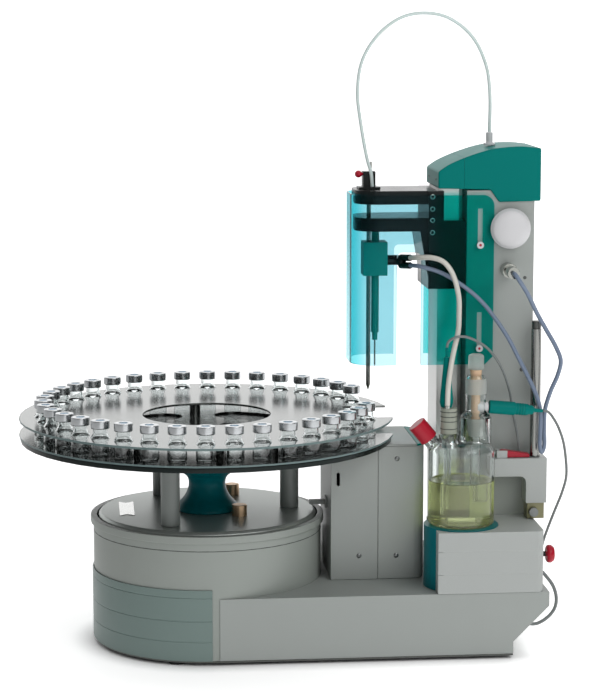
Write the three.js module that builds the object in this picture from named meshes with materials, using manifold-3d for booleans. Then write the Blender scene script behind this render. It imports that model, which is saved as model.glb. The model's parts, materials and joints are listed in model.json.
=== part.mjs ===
// Oven autosampler: a turntable rack of crimped vials, a lift that lowers a needle over an oven, and a stirred cell.
// Millimetres, +Z up. The pieces are made with the turntable's axis at X = Y = 0 and the table at Z = 0.
// Everything behind the drum is measured along X from the needle's axis, which stands over the vials' circle.
import * as THREE from "three";
import { mergeVertices } from "three/addons/utils/BufferGeometryUtils.js";
import Module from "manifold-3d";

const wasm = await Module();
wasm.setup();

// Fits
const gap = 0.3; // between two pieces that touch
const slip = 0.8; // round a piece that turns or slides
const over = 6; // how far a cut runs past what it cuts
const weld = 0.001; // vertices closer than this are one
const facetDepth = 0.28; // how far a round piece's facets lie inside it, less than a gap
const fewestSides = 8;
const mostSides = 48;

// Base
const footHeight = 3.5;
const footRadius = 9;
const footInset = 11; // from the drum's wall to the axis of the two feet under it
const footTurn = 110;
const rearFootX = 123;
const rearFootInset = 24.5; // from the base's side
const sheet = 2; // folded sheet metal and bottom plates
const baseHalfWidth = 134.5;
const baseFront = 6; // from the turntable's axis
const baseMargin = 7; // behind the stirrer stand
const baseTop = 77.5;
const baseSlope = 41; // run and drop of the sloped rear end
const baseWall = 2.5;
const baseToe = 14; // upright part below the slope

// Drum
const drumInset = 1; // inside the base's sides
const drumWall = 3;
const deckClear = 4.5; // under the drive gear
const deckThickness = 3;
const rimProud = 3.3; // outside the drum's wall
const rimShelf = 4; // inside the drum's wall
const rimHeight = 8.5;
const rimDrop = 3.2; // below the top of the turntable's disc
const skirtThickness = 1.4;
const skirtTop = 88;
const skirtEdge = 2.4; // in front of the turntable's axis
const skirtGroove = 0.8;
const skirtGrooveHalf = 0.8;
const skirtGrooveShares = [0.318, 0.591, 0.898]; // of the skirt's top

// Turntable
const turntableTurn = 1.2; // degrees that the rack stands turned at rest
const discClear = 2; // inside the rim
const discTop = 153.2;
const discThickness = 6;
const discBevel = 3;
const shaftRadius = 12;
const shoulderHeight = 1.6;
const seatHeight = 4; // ring that the bearing stands on
const seatWall = 4;
const shaftCollar = 4; // how far the shaft's collars stand out
const bearingWall = 10;
const bearingHeight = 9;
const bearingSides = 24;
const postRadius = 11;
const postInset = 30.5; // from the disc's edge to a post's axis
const hubRadius = 38.5;
const hubHeight = 62; // of the turned foot
const hubNeckRadius = 24;
const hubSides = 20;
const hubShares = [
  [0.96, 0], [0.96, 0.04], [0.86, 0.13], [0.7, 0.24], [0.6, 0.37], [0.56, 0.5], [0.585, 0.6], [0.69, 0.68],
  [0.86, 0.74], [0.99, 0.83], [1, 0.9], [0.96, 0.96],
]; // of the hub's radius and of its foot's height
const pinRadius = 8.8;
const pinHeight = 13;
const nearPinCircleRadius = 53.5;
const nearPinTurn = -50;
const farPinCircleRadius = 85;
const farPinTurn = 65;

// Turntable drive: involute gears with short teeth
const gearModule = 1.5;
const gearTeeth = 100;
const pinionTeeth = 10;
const pressureAngle = THREE.MathUtils.degToRad(25);
const gearHeight = 5.4;
const gearBacklash = 0.3;
const toothAddendumShare = 0.8;
const toothDedendumShare = 1.05;
const pinionDirection = THREE.MathUtils.degToRad(200);
const motorHalf = 21;
const motorHeight = 34;
const motorShaftRadius = 2.5;
const rotorRadius = 13;
const rotorHeight = 24;
const endPlate = 4;

// Rack
const rackRim = 28.5; // from the vials' circle to the plates' edge
const rackClear = 1.9; // over the oven's lid
const topPlateThickness = 2.5;
const plateSpace = 16.7; // free height between the two upper plates
const carrierThickness = 2;
const bottomDiscThickness = 6;
const bottomDiscLip = 1.5; // inside the plates' edge
const rackHoleRadius = 75;
const spacerRadius = 6.5;
const spacerInset = 11; // from the hole's edge to a spacer's axis
const spacerCount = 4;
const spacerTurn = 95;
const eyeletRadius = 11;
const eyeletCircleRadius = 43;
const eyeletTurn = 47.5;
const vialPlaces = 38;
const firstVialPlace = 2;
const lastVialPlace = 36;
const vialRadius = 11;
const vialNeckRadius = 8.2;
const vialShoulder = 2.5; // height of the shoulder's foot above the top plate
const vialNeckHeight = 12.5;
const capRadius = 10.5;
const capHeight = 7.6;
const vialSides = 6;
const notchFrontHalf = 47;
const notchRearHalf = 31;
const notchDepth = 26; // inwards from the vials' circle

// Oven
const ovenClear = 3.2; // behind the drum's rim
const ovenFront = 50; // in front of the needle's axis
const ovenRear = 60;
const ovenSeamX = 5;
const ovenHalfWidth = 58;
const ovenTop = 234.6;
const ovenCorner = 14;
const lidThickness = 2.2;
const stripWidth = 9.5;
const wellRadius = 13;
const wellDepth = 62;
const blockRadius = 24;
const blockHeight = 80;
const blockFootRadius = 14;
const blockClear = 6; // from the block's top to the lid's underside
const slotWidth = 3.6;
const slotHeight = 16;
const slotDrop = 29.6; // below the oven's top
const slotInset = 8.5; // behind the oven's front
const sensorReach = 20;
const sensorRise = 5.3; // over the turntable's disc
const sensorHeight = 5;
const sensorHalf = 4;
const sensorY = -10;
const sensorFlange = 4; // how far its flange reaches past the arm

// Tower
const railClear = 16; // behind the oven
const railDepth = 24.5;
const railHalf = 34;
const railWall = 3;
const railRise = 2.2; // over the column
const webHalf = 12;
const columnClear = 8; // behind the rail
const columnDepth = 78.5;
const columnTop = 529;
const columnWall = 2.5;
const screwY = 20;
const screwRadius = 4;
const fingerHalf = 3;
const fingerPlay = 1;
const liftMotorHeight = 50;
const journalRadius = 2.5;
const journal = 20;

// Hood
const hoodFrontLip = 1.5; // in front of the rail
const hoodRearLip = 6.8; // behind the column
const hoodOverhang = 3; // past the column's sides
const hoodDrop = 13.5; // below the column's top
const hoodHeight = 63.8;
const hoodShares = [
  [0, 0.252], [0.507, 0.227], [0.594, 0], [1, 0.016], [1, 0.967], [0.809, 1], [0.574, 0.972], [0.452, 0.925],
  [0.247, 0.799], [0.096, 0.674], [0, 0.556],
]; // of its length and height
const hoodWall = 2.4;
const nutPlaceShares = [0.557, 0.978]; // the seat of the tube nut, of the hood's length and height
const nutRadius = 4;
const nutHeight = 12.5;
const nutFlangeRadius = 7;
const nutFlange = 2.5;

// Fittings on the column
const domeInset = 49.5; // behind the column's front
const domeDrop = 43.5; // below the column's top
const domeRadius = 23.5;
const domeDepth = 12;
const domeRim = 3;
const domeNeckRadius = 17;
const domeNeck = 5.2;
const domeBulgeShares = [[0.5, 0.92], [1, 0.6]]; // of its radius and depth
const socketInset = 47.5;
const socketDrop = 91.5;
const socketRadius = 8.6;
const socketDepth = 18;
const plugRadius = 7;
const plugDepth = 24;

// Lift, its heights down from the top of the carriage
const liftTravel = 85;
const carriageDrop = 2.7; // below the rail's top
const carriagePlate = 12; // in front of the rail
const carriageShoulderDepth = 17.7;
const carriageShoulder = 34.1;
const carriageHeight = 112.9;
const carriageInset = 0.5; // inside the column's sides
const railPlay = 0.5;
const sidePlate = 8;
const lipPlay = 1;
const gussetReach = 9;
const gussetHeight = 51.9; // below the lower arm
const armNose = 18.5; // in front of the needle's axis
const armHalf = 38;
const armCorner = 25;
const armThickness = 15.5;
const armSpace = 15.6; // between the two arms
const followerDrop = 98.5; // foot of the nut block on the lead screw
const followerHeight = 20;
const followerHalf = 7;
const followerPlay = 2;

// Needle head, its heights from the top of the carriage
const needleRadius = 2.6;
const needleClear = 24.5; // over the rack's top plate
const outletX = 7.7;
const outletRadius = 4.6;
const outletDrop = 168;
const outletStep = 9;
const outletStepRadius = 3.2;
const outletTipLength = 30.1;
const outletTipRadius = 1;
const heaterFront = 7.6; // in front of the needle's axis
const heaterRear = 20.5;
const heaterHalf = 14;
const heaterDrop = 61.3;
const heaterHeight = 39;
const holderFront = 7.6;
const holderRear = 6.8;
const holderHalf = 8;
const holderHeight = 20.5;
const holderFlangeFront = 13;
const holderFlangeRear = 12;
const holderFlange = 2.5;
const holderFlangeHalf = 12;
const lockPinRadius = 1.2;
const lockPinHeight = 31.5;
const lockPinInset = 4.4;
const knobBore = 6;
const knobBallRadius = 4.4;
const knobStemRadius = 1.8;
const knobRise = 17.5;
const knobY = -4;
const connectorDrop = 83.5;
const connectorRadius = 6;
const connectorRearX = 36;
const connectorElbowY = -16;
const bossSpacing = 9;
const bossRadius = 4;
const bossLength = 20;
const bossWayShares = [0.4, -0.9, 0.08];

// Shield
const shieldFront = 24; // in front of the needle's axis
const shieldReach = 16.2; // behind the slide pins
const shieldClear = 2; // outside the column's sides
const shieldThickness = 2;
const shieldBend = 30;
const shieldDrop = 5; // below the column's top
const shieldHeight = 196.5;
const shieldCorner = 13;
const shieldChamfer = 9;
const shieldTravel = 38;
const nearWindowFrontX = 27;
const nearWindowRearX = 55;
const farWindowFrontX = 36;
const farWindowRearX = 72;
const windowHeight = 131;
const windowCorner = 6;
const slideInset = 15; // behind the column's front
const slideGap = 0.4; // each side of a pin in its slot
const upperSlideDrop = 57.6; // below the shield's top
const lowerSlideRise = 18.8; // over the shield's foot
const slidePinRadius = 2.4;
const slideHeadRadius = 4;
const slideHead = 1.6;
const slideBossRadius = 4.5;
const slidePlay = 1.6;

// Stirrer stand, its X and Y sizes from the cell's axis
const standOvenClear = 4;
const standColumnClear = 0.7;
const platformRadius = 43;
const platformOverhang = 10; // in front of the stand
const standNearMargin = 2.5; // outside the platform
const standFarMargin = 3.8;
const standRear = 89;
const standTop = 148.5;
const standCorner = 8;
const standWall = 3;
const platformProud = 1;
const magnetRadius = 26;
const magnetHeight = 14;
const magnetClear = 4.2; // under the platform
const magnetShaftRadius = 4;
const magnetShaft = 16;
const magnetBarHeight = 12;
const magnetBarHalf = 9;
const buttonY = -19.5;
const buttonDrop = 32.5; // below the stand's top
const buttonRadius = 10.5;
const buttonThickness = 9;
const buttonShares = [[0.8, 0], [1, 0.25], [1, 0.6], [0.75, 1]]; // of its radius and thickness
const buttonStem = 7; // free stem outside the stand
const buttonStemRadius = 3.2;

// Vessel, from the middle of its foot
const vesselRadius = 38;
const vesselWall = 2.5;
const vesselHeight = 96.9; // to the top of the shoulder
const vesselShoulder = 11;
const shoulderRoundShare = 0.385; // how far the shoulder draws in, of the radius
const shoulderStepShares = [0, 0.4, 0.7, 1];
const bigNeckX = 16.5;
const bigNeckY = 4.5;
const bigNeckRadius = 18.5;
const bigNeckWall = 3.5;
const bigNeckHeight = 25.8; // over the shoulder
const smallNeckX = -16;
const smallNeckY = -5.5;
const smallNeckRadius = 11.4;
const smallNeckWall = 2.8;
const smallNeckHeight = 9.3;
const capNeckTilt = THREE.MathUtils.degToRad(39.5);
const capNeckX = -31;
const capNeckDrop = 5.7; // below the shoulder's top
const capNeckRadius = 8.4;
const capNeckWall = 2.4;
const capNeckLength = 24;
const screwCapStart = 10.6; // from the foot of the neck
const screwCapWall = 1.7;
const screwCapLength = 23;
const stirBarRadius = 3;
const stirBarHalf = 12;

// Electrodes
const stopperClear = 0.6; // in the small neck's bore
const stopperLip = 0.9; // outside the bore
const stopperHeight = 29.5; // over the neck
const stopperPlug = 16; // depth in the neck
const electrodeClear = 20.2; // over the vessel's foot
const electrodeShaftRadius = 3;
const gasTubeRadius = 1.6;
const gasTubePlace = [-4, -3]; // from the small neck's axis
const gasTubeClear = 13.2;
const indicatorPlace = [-2, 6];
const indicatorFootRadius = 6.4;
const indicatorFoot = 6;
const indicatorMidRadius = 8;
const indicatorNeckRadius = 3.4;
const indicatorLength = 57.5;
const indicatorReliefRadius = 1.8;
const indicatorRelief = 11.3;
const nozzlePlace = [-2.7, -5.8];
const nozzleRadius = 3;
const nozzleHeight = 3.5;
const jointClear = 0.6; // in the big neck's bore
const jointTaper = 1.2;
const jointDepth = 36.5; // in the neck
const jointCollarInset = 2; // inside the neck's radius
const jointCollar = 3;
const generatorRodRadius = 6;
const generatorClear = 26.2; // over the vessel's foot
const tubeRadius = 12;
const tubeHeight = 49; // over the neck
const coreRadius = 7;
const coreHeight = 6.5;
const whiteCapRadius = 8.9;
const whiteCapHeight = 18;
const sideSocketRise = 12; // over the neck
const sideSocketRadius = 6;
const sideSocketReach = 14.1;
const generatorPlugClear = 1.2;
const generatorPlugDrop = THREE.MathUtils.degToRad(5.5); // how far the plug hangs down
const generatorPlugRadius = 7.8;
const generatorPlugLength = 63;
const generatorPlugShares = [
  [0, 0], [0.92, 0], [1, 0.016], [1, 0.413], [0.85, 0.437], [0.85, 0.65], [0.51, 0.84], [0.23, 0.857], [0.23, 1],
  [0, 1],
]; // of its radius and length

// Support, its X and Y sizes from the cell's axis
const rodOverhang = 2; // behind the stand
const rodY = 30.5;
const rodRadius = 6;
const rodHeight = 222; // over the stand
const clampHalf = 10;
const clampHeight = 19;
const bracketClear = 4; // outside the vessel
const bracketHeight = 52.7;
const bracketBack = 12; // behind and in front of the rod's axis
const bracketArm = 21;
const bracketCorner = 9;
const bracketHalf = 13;
const thumbRise = 8.7; // over the stand
const thumbInset = 3; // in front of the rod's axis
const thumbRadius = 5.5;
const thumbDepth = 6;
const thumbStemRadius = 2.2;
const thumbStem = 3;
const leverInset = 11; // from the bracket's front to the lever's pivot
const leverLength = 30.5;
const leverHalf = 5;
const leverOffset = 3; // nearer than the rod's axis
const leverEyeRadius = 4.4;
const leverThin = 4;
const leverPinRadius = 1.5;
const cheek = 2;
const cheekReach = 4; // past the lever's pivot
const cheekHeight = 9;
const cheekWeb = 3;
const stubRadius = 2.6;
const stubReach = 3.6; // in front of the bracket

// Cords: routes chosen by hand, in millimetres from the turntable's axis and the table
const loopRadius = 2;
const loopRoute = [
  [192.5, -10.6, 531.8], [191, -10.8, 548], [187, -9.5, 562], [180, -5, 602], [176.2, -1, 640],
  [181.8, 0, 676.6], [200.7, 0, 706.5], [227, 0, 725.5], [253.5, 0, 730.5], [281.4, 0, 725.1], [309.3, 0, 703.8],
  [326, 0, 671], [331, 0, 638], [331, 0, 593.5],
];
const hoseRadius = 3;
const hoseRoute = [
  [234.2, -34.5, 451.2], [242.5, -53, 453.2], [255, -64, 454.2], [267.1, -69, 450.1], [276.9, -71, 437.9],
  [284.8, -72, 411.1], [285.2, -74, 388], [283.2, -82, 372], [277.5, -91, 354], [272.5, -98, 334],
  [269, -102, 310], [268.3, -101.8, 289.4],
];
const heaterCableRadius = 2.5;
const heaterCableRoute = [
  [234.2, -34.5, 442.2], [242.5, -53, 443.2], [265.8, -60, 436.6], [288.1, -61, 423.4], [310.3, -63, 405.6],
  [327.9, -67, 384.3], [342.9, -72, 361.4], [355.8, -75, 336.3], [366.2, -77, 315.7], [375.2, -78.5, 295.6],
  [380, -79, 278], [380.4, -79, 250], [380.5, -78.5, 234], [383, -76.5, 228.5], [386, -74.5, 234],
  [386, -73, 255], [387, -72, 277], [393.2, -72, 298.7], [401.2, -72, 317.5], [404.6, -72, 334.1],
  [398.9, -72, 349.7], [386.5, -73, 371.1], [375, -77, 390.4], [361, -90, 415], [350, -97, 431],
  [346, -94, 437.2], [346, -86, 437.5],
];
const thinCableRadius = 1.5;
const indicatorRoute = [
  [269, -90, 354.8], [270.5, -92, 361], [278, -95.5, 366.5], [288.2, -94, 367], [302.4, -87, 361.3],
  [318.7, -80, 349.9], [334.2, -75, 329], [346.2, -66, 299.3], [352.4, -58, 270.9], [358.5, -54.5, 244.7],
  [361.5, -53, 220.9],
];
const generatorRoute = [
  [382.3, -86, 278.4], [387.5, -86.2, 277.4], [397, -86, 265], [405.5, -85, 245], [410, -83, 222],
  [411.5, -80, 199.5], [407.3, -78, 180.6], [400.4, -77, 162], [392, -77, 140], [386, -77, 122],
  [384, -75.5, 111.5], [381, -75, 108.2], [376.5, -75, 108],
];
const rearCableRadius = 2;
const rearRoute = [
  [376.5, -70, 88], [384, -70, 87], [393, -70, 78], [401, -70, 66], [404.4, -70, 52], [402.2, -70, 40],
  [393, -70, 29], [380, -70, 22.5], [368, -70, 25], [360.6, -70, 37.2],
];

// Main places, worked out from the sizes above
const drumRadius = baseHalfWidth - drumInset;
const rimRadius = drumRadius + rimProud;
const rimInnerRadius = drumRadius - rimShelf;
const discRadius = rimInnerRadius - discClear;
const needleAxisX = rimRadius + ovenClear + ovenFront; // from the turntable's axis
const vialCircleRadius = needleAxisX;
const rackRadius = vialCircleRadius + rackRim;
const plateTop = footHeight + sheet;
const wallFoot = plateTop + gap;
const standFoot = baseTop + gap; // foot of everything that stands on the base
const railFrontX = ovenRear + railClear;
const railRearX = railFrontX + railDepth;
const railTop = columnTop + railRise;
const columnFrontX = railRearX + columnClear;
const columnRearX = columnFrontX + columnDepth;
const screwX = (railFrontX + railRearX) / 2;
const carriageTop = railTop - carriageDrop;
const carriageFrontX = railFrontX - carriagePlate;
const carriageHalf = railHalf + railPlay + sidePlate;
const columnHalf = carriageHalf + carriageInset;
const standFrontX = platformOverhang - platformRadius;
const standNearY = -platformRadius - standNearMargin;
const standFarY = platformRadius + standFarMargin;
const cellX = ovenRear + standOvenClear - standFrontX;
const cellY = -columnHalf - standColumnClear - standFarY;
const baseRearX = needleAxisX + cellX + standRear + baseMargin;
const platformTop = standTop + platformProud;
const vesselFoot = platformTop + gap;

// Colours
const paint = (color, roughness, metalness) => new THREE.MeshStandardMaterial({ color, roughness, metalness });
const greyPaint = paint(0x9da39e, 0.5, 0.1);
const palePaint = paint(0xc4c8c6, 0.45, 0.1);
const drumPaint = paint(0x8c918a, 0.5, 0.1);
const skirtPaint = paint(0x76827d, 0.5, 0.1);
const darkMetal = paint(0x5f5f5a, 0.35, 0.8);
const brushed = paint(0xcdc8c3, 0.3, 0.9);
const steel = paint(0xb8b8b4, 0.25, 1);
const chrome = paint(0xd8d8d4, 0.12, 1);
const teal = paint(0x007d76, 0.4, 0);
const tealDark = paint(0x00605c, 0.4, 0);
const black = paint(0x141a1a, 0.4, 0.1);
const smoke = paint(0x192826, 0.2, 0);
const red = paint(0xbe192d, 0.4, 0);
const white = paint(0xe1dee0, 0.5, 0);
const glass = paint(0xdfe9e6, 0.05, 0);
const shieldTint = paint(0x00b0b8, 0.1, 0);
const olive = paint(0x85846a, 0.45, 0.4);
const cableGrey = paint(0x8490a0, 0.5, 0);
const hoseWhite = paint(0xe6e6e0, 0.4, 0);

// A closed geometry as a solid, turned right side out.
function solid(geometry) {
  const bare = geometry.clone();
  bare.deleteAttribute("normal");
  bare.deleteAttribute("uv");
  const merged = mergeVertices(bare, weld);
  const corners = [];
  for (let i = 0; i < merged.index.count; i += 3) {
    const [a, b, c] = [0, 1, 2].map((k) => merged.index.getX(i + k));
    if (a !== b && b !== c && c !== a) corners.push([a, b, c]);
  }
  const build = (order) => new wasm.Manifold(new wasm.Mesh({
    numProp: 3,
    vertProperties: merged.attributes.position.array,
    triVerts: new Uint32Array(corners.flatMap(order)),
  }));
  const made = build((t) => t);
  return made.volume() > 0 ? made : build(([a, b, c]) => [a, c, b]);
}

function geometryOf(made) {
  const mesh = made.getMesh();
  const geometry = new THREE.BufferGeometry();
  geometry.setAttribute("position", new THREE.BufferAttribute(mesh.vertProperties, 3));
  geometry.setIndex(new THREE.BufferAttribute(mesh.triVerts, 1));
  geometry.computeVertexNormals();
  return geometry;
}

const join = (solids) => solids.reduce((sum, next) => sum.add(next));
const cut = (from, solids) => solids.reduce((left, next) => left.subtract(next), from);
// An even number of facets that lie a set depth inside the true round.
const sidesOf = (radius) => {
  const half = Math.ceil(Math.PI / Math.acos(1 - facetDepth / Math.max(radius, 2 * facetDepth)) / 2);
  return THREE.MathUtils.clamp(2 * half, fewestSides, mostSides);
};
const polar = (radius, degrees) => {
  const angle = THREE.MathUtils.degToRad(degrees);
  return [radius * Math.cos(angle), radius * Math.sin(angle)];
};

function box(x0, x1, y0, y1, z0, z1) {
  const block = new THREE.BoxGeometry(x1 - x0, y1 - y0, z1 - z0);
  return solid(block.translate((x0 + x1) / 2, (y0 + y1) / 2, (z0 + z1) / 2));
}

// A cylinder or cone between two points.
function rod(from, to, radius, endRadius = radius, sides = sidesOf(Math.max(radius, endRadius))) {
  const start = new THREE.Vector3(...from);
  const end = new THREE.Vector3(...to);
  const way = end.clone().sub(start);
  const barrel = new THREE.CylinderGeometry(endRadius, radius, way.length(), sides);
  const turn = new THREE.Quaternion().setFromUnitVectors(new THREE.Vector3(0, 1, 0), way.normalize());
  const middle = start.add(end).multiplyScalar(1 / 2);
  return solid(barrel.applyQuaternion(turn).translate(middle.x, middle.y, middle.z));
}

const upright = (x, y, z0, z1, radius, sides) => rod([x, y, z0], [x, y, z1], radius, radius, sides);

// A profile of [radius, height] pairs turned about a line from a point along a direction.
function turned(profile, from = [0, 0, 0], direction = [0, 0, 1],
  sides = sidesOf(Math.max(...profile.map(([r]) => r)))) {
  const lathe = new THREE.LatheGeometry(profile.map(([r, h]) => new THREE.Vector2(r, h)), sides);
  const way = new THREE.Vector3(...direction).normalize();
  const turn = new THREE.Quaternion().setFromUnitVectors(new THREE.Vector3(0, 1, 0), way);
  return solid(lathe.applyQuaternion(turn).translate(...from));
}

const shapeOf = (points) => new THREE.Shape(points.map(([x, y]) => new THREE.Vector2(x, y)));

// A flat outline raised from z0 to z1.
function slab(shape, z0, z1, curveSegments = 6) {
  const raised = new THREE.ExtrudeGeometry(shape, { depth: z1 - z0, bevelEnabled: false, curveSegments });
  return solid(raised.translate(0, 0, z0));
}

// An outline in X and Z, run along Y from y0 to y1.
function sideways(shape, y0, y1, curveSegments = 6) {
  const run = new THREE.ExtrudeGeometry(shape, { depth: y1 - y0, bevelEnabled: false, curveSegments });
  return solid(run.rotateX(Math.PI / 2).translate(0, y1, 0));
}

// A rectangle whose corners have their own radii, from the lower left one round to the right.
function rounded(x0, x1, y0, y1, radii) {
  const [a, b, c, d] = radii;
  const shape = new THREE.Shape();
  shape.moveTo(x0 + a, y0);
  shape.lineTo(x1 - b, y0);
  if (b) shape.absarc(x1 - b, y0 + b, b, -Math.PI / 2, 0);
  shape.lineTo(x1, y1 - c);
  if (c) shape.absarc(x1 - c, y1 - c, c, 0, Math.PI / 2);
  shape.lineTo(x0 + d, y1);
  if (d) shape.absarc(x0 + d, y1 - d, d, Math.PI / 2, Math.PI);
  shape.lineTo(x0, y0 + a);
  if (a) shape.absarc(x0 + a, y0 + a, a, Math.PI, (3 * Math.PI) / 2);
  return shape;
}

// A cord along a hand-made route.
function cord(route, radius, steps, sides = 8) {
  const path = new THREE.CatmullRomCurve3(route.map((p) => new THREE.Vector3(...p)), false, "centripetal");
  const section = shapeOf(Array.from({ length: sides }, (unused, i) => polar(radius, (360 * i) / sides)));
  return solid(new THREE.ExtrudeGeometry(section, { steps, extrudePath: path, bevelEnabled: false }));
}

// An involute gear, a tooth centred on its own X axis.
function gear(teeth, z0, z1, bore) {
  const pitch = (teeth * gearModule) / 2;
  const base = pitch * Math.cos(pressureAngle);
  const root = pitch - toothDedendumShare * gearModule;
  const tip = pitch + toothAddendumShare * gearModule;
  const involute = (angle) => Math.tan(angle) - angle;
  const halfAt = (radius) => Math.PI / (2 * teeth) - gearBacklash / (4 * pitch) + involute(pressureAngle)
    - involute(Math.acos(Math.min(1, base / radius)));
  const rising = root > base ? [root, tip] : [root, base, (pitch + tip) / 2, tip];
  const outline = [];
  for (let tooth = 0; tooth < teeth; tooth++) {
    const middle = (2 * Math.PI * tooth) / teeth;
    const left = rising.map((r) => [r, middle - halfAt(Math.max(r, base))]);
    const right = rising.toReversed().map((r) => [r, middle + halfAt(Math.max(r, base))]);
    outline.push(...[...left, ...right].map(([r, angle]) => [r * Math.cos(angle), r * Math.sin(angle)]));
  }
  return cut(slab(shapeOf(outline), z0, z1), [upright(0, 0, z0 - over, z1 + over, bore, bearingSides)]);
}

const object = new THREE.Group();
const place = (parent, x, y, z) => {
  const group = new THREE.Group();
  group.position.set(x, y, z);
  parent.add(group);
  return group;
};
const rackGroup = place(object, 0, 0, 0);
rackGroup.rotation.z = THREE.MathUtils.degToRad(turntableTurn);
const rear = place(object, needleAxisX, 0, 0); // oven, tower and shield
const lift = place(rear, 0, 0, carriageTop);
const stand = place(rear, cellX, cellY, 0);
const cell = place(stand, 0, 0, vesselFoot);

function piece(name, made, material, group = object) {
  const mesh = new THREE.Mesh(geometryOf(made), material);
  mesh.name = name;
  group.add(mesh);
  return mesh;
}

// The points of a closed outline, moved inwards; the outline runs anticlockwise.
function inset(points, by) {
  const way = (a, b) => new THREE.Vector2(b[0] - a[0], b[1] - a[1]).normalize();
  return points.map((point, i) => {
    const before = way(points.at(i - 1), point);
    const after = way(point, points[(i + 1) % points.length]);
    const sum = new THREE.Vector2(-before.y - after.y, before.x + after.x);
    return new THREE.Vector2(...point).addScaledVector(sum, by / (1 + before.dot(after))).toArray();
  });
}

const ball = (x, y, z, radius) => solid(new THREE.SphereGeometry(radius, 10, 6).translate(x, y, z));
const sides = [-1, 1];

// Base
const toeX = baseRearX - baseSlope;
const slopeFoot = wallFoot + baseToe;
const feet = sides.flatMap((side) => [
  upright(...polar(drumRadius - footInset, side * footTurn), 0, plateTop, footRadius),
  upright(needleAxisX + rearFootX, side * (baseHalfWidth - rearFootInset), 0, plateTop, footRadius),
]);
piece("base_plate", join([
  upright(0, 0, footHeight, plateTop, drumRadius),
  box(0, toeX - gap, gap - baseHalfWidth, baseHalfWidth - gap, footHeight, plateTop),
  ...feet,
]), darkMetal);

const baseOutline = [
  [baseFront, wallFoot], [toeX, wallFoot], [toeX, slopeFoot], [baseRearX, slopeFoot + baseSlope],
  [baseRearX, baseTop], [baseFront, baseTop],
];
const baseInside = inset(baseOutline, baseWall)
  .map(([x, z], i) => [i % 5 ? x : baseFront - over, i < 2 ? wallFoot - over : z]);
piece("base_housing", cut(sideways(shapeOf(baseOutline), -baseHalfWidth, baseHalfWidth), [
  sideways(shapeOf(baseInside), baseWall - baseHalfWidth, baseHalfWidth - baseWall),
  upright(0, 0, 0, baseTop + over, drumRadius + gap),
  upright(needleAxisX + screwX, screwY, baseTop - over, baseTop + over, screwRadius + slip),
]), greyPaint);

// Heights of the turntable's drive, from the disc down
const discBottom = discTop - discThickness;
const driveTop = discBottom - gap;
const driveBottom = driveTop - gearHeight;
const shoulderTop = driveBottom - gap;
const bearingTop = shoulderTop - shoulderHeight - gap;
const bearingBottom = bearingTop - bearingHeight;
const seatTop = bearingBottom - gap;
const seatBottom = seatTop - seatHeight;
const deckTop = driveBottom - deckClear;
const deckBottom = deckTop - deckThickness;
const rimTop = discTop - rimDrop;
const rimBottom = rimTop - rimHeight;
const pinionDistance = ((gearTeeth + pinionTeeth) * gearModule) / 2;
const pinionX = pinionDistance * Math.cos(pinionDirection);
const pinionY = pinionDistance * Math.sin(pinionDirection);
const drumInner = drumRadius - drumWall;
const collarRadius = shaftRadius + shaftCollar;
const shaftHole = shaftRadius + gap;
const bearingRadius = shaftRadius + bearingWall;
const seatRadius = bearingRadius + gap;

piece("drum_body", cut(turned([
  [drumInner, wallFoot], [drumRadius, wallFoot], [drumRadius, rimBottom], [rimRadius, rimBottom],
  [rimRadius, rimTop], [rimInnerRadius, rimTop], [rimInnerRadius, deckTop], [seatRadius, deckTop],
  [seatRadius, seatTop], [collarRadius + slip, seatTop], [collarRadius + slip, seatBottom],
  [seatRadius + seatWall, seatBottom], [seatRadius + seatWall, deckBottom], [drumInner, deckBottom],
  [drumInner, wallFoot],
]), [
  upright(pinionX, pinionY, seatBottom, deckTop + over, motorShaftRadius + slip),
]), drumPaint);

const skirtInner = drumRadius + gap;
const skirtRadius = skirtInner + skirtThickness;
const grooves = skirtGrooveShares.flatMap((share) => [
  [skirtRadius, share * skirtTop - skirtGrooveHalf], [skirtRadius - skirtGroove, share * skirtTop],
  [skirtRadius, share * skirtTop + skirtGrooveHalf],
]);
piece("drum_skirt", turned([
  [skirtInner, wallFoot], [skirtRadius, wallFoot], ...grooves, [skirtRadius, skirtTop], [skirtInner, skirtTop],
  [skirtInner, wallFoot],
]).intersect(
  box(-skirtRadius - over, -skirtEdge, -skirtRadius - over, skirtRadius + over, 0, skirtTop + over),
), skirtPaint);

piece("turntable_bearing", turned([
  [shaftHole, bearingBottom], [bearingRadius, bearingBottom], [bearingRadius, bearingTop],
  [shaftHole, bearingTop], [shaftHole, bearingBottom],
], [0, 0, 0], [0, 0, 1], bearingSides), steel);

const motorTop = deckBottom - gap;
const rotorTop = motorTop - endPlate - slip;
piece("turntable_motor", cut(
  box(pinionX - motorHalf, pinionX + motorHalf, pinionY - motorHalf, pinionY + motorHalf, motorTop - motorHeight,
    motorTop),
  [
    upright(pinionX, pinionY, motorTop - motorHeight - over, motorTop - endPlate, rotorRadius + slip),
    upright(pinionX, pinionY, motorTop - motorHeight - over, motorTop + over, motorShaftRadius + slip),
  ],
), darkMetal);

// The pinion turns on the motor's rotor, a gap of its teeth facing the big gear
const pinion = piece("motor_pinion", join([
  gear(pinionTeeth, driveBottom, driveTop - gap, gearModule),
  upright(0, 0, rotorTop - rotorHeight, rotorTop, rotorRadius),
  upright(0, 0, rotorTop - gearModule, driveTop - gap, motorShaftRadius),
]), steel);
pinion.position.set(pinionX, pinionY, 0);
pinion.rotation.z = pinionDirection + Math.PI + Math.PI / pinionTeeth;

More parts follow.
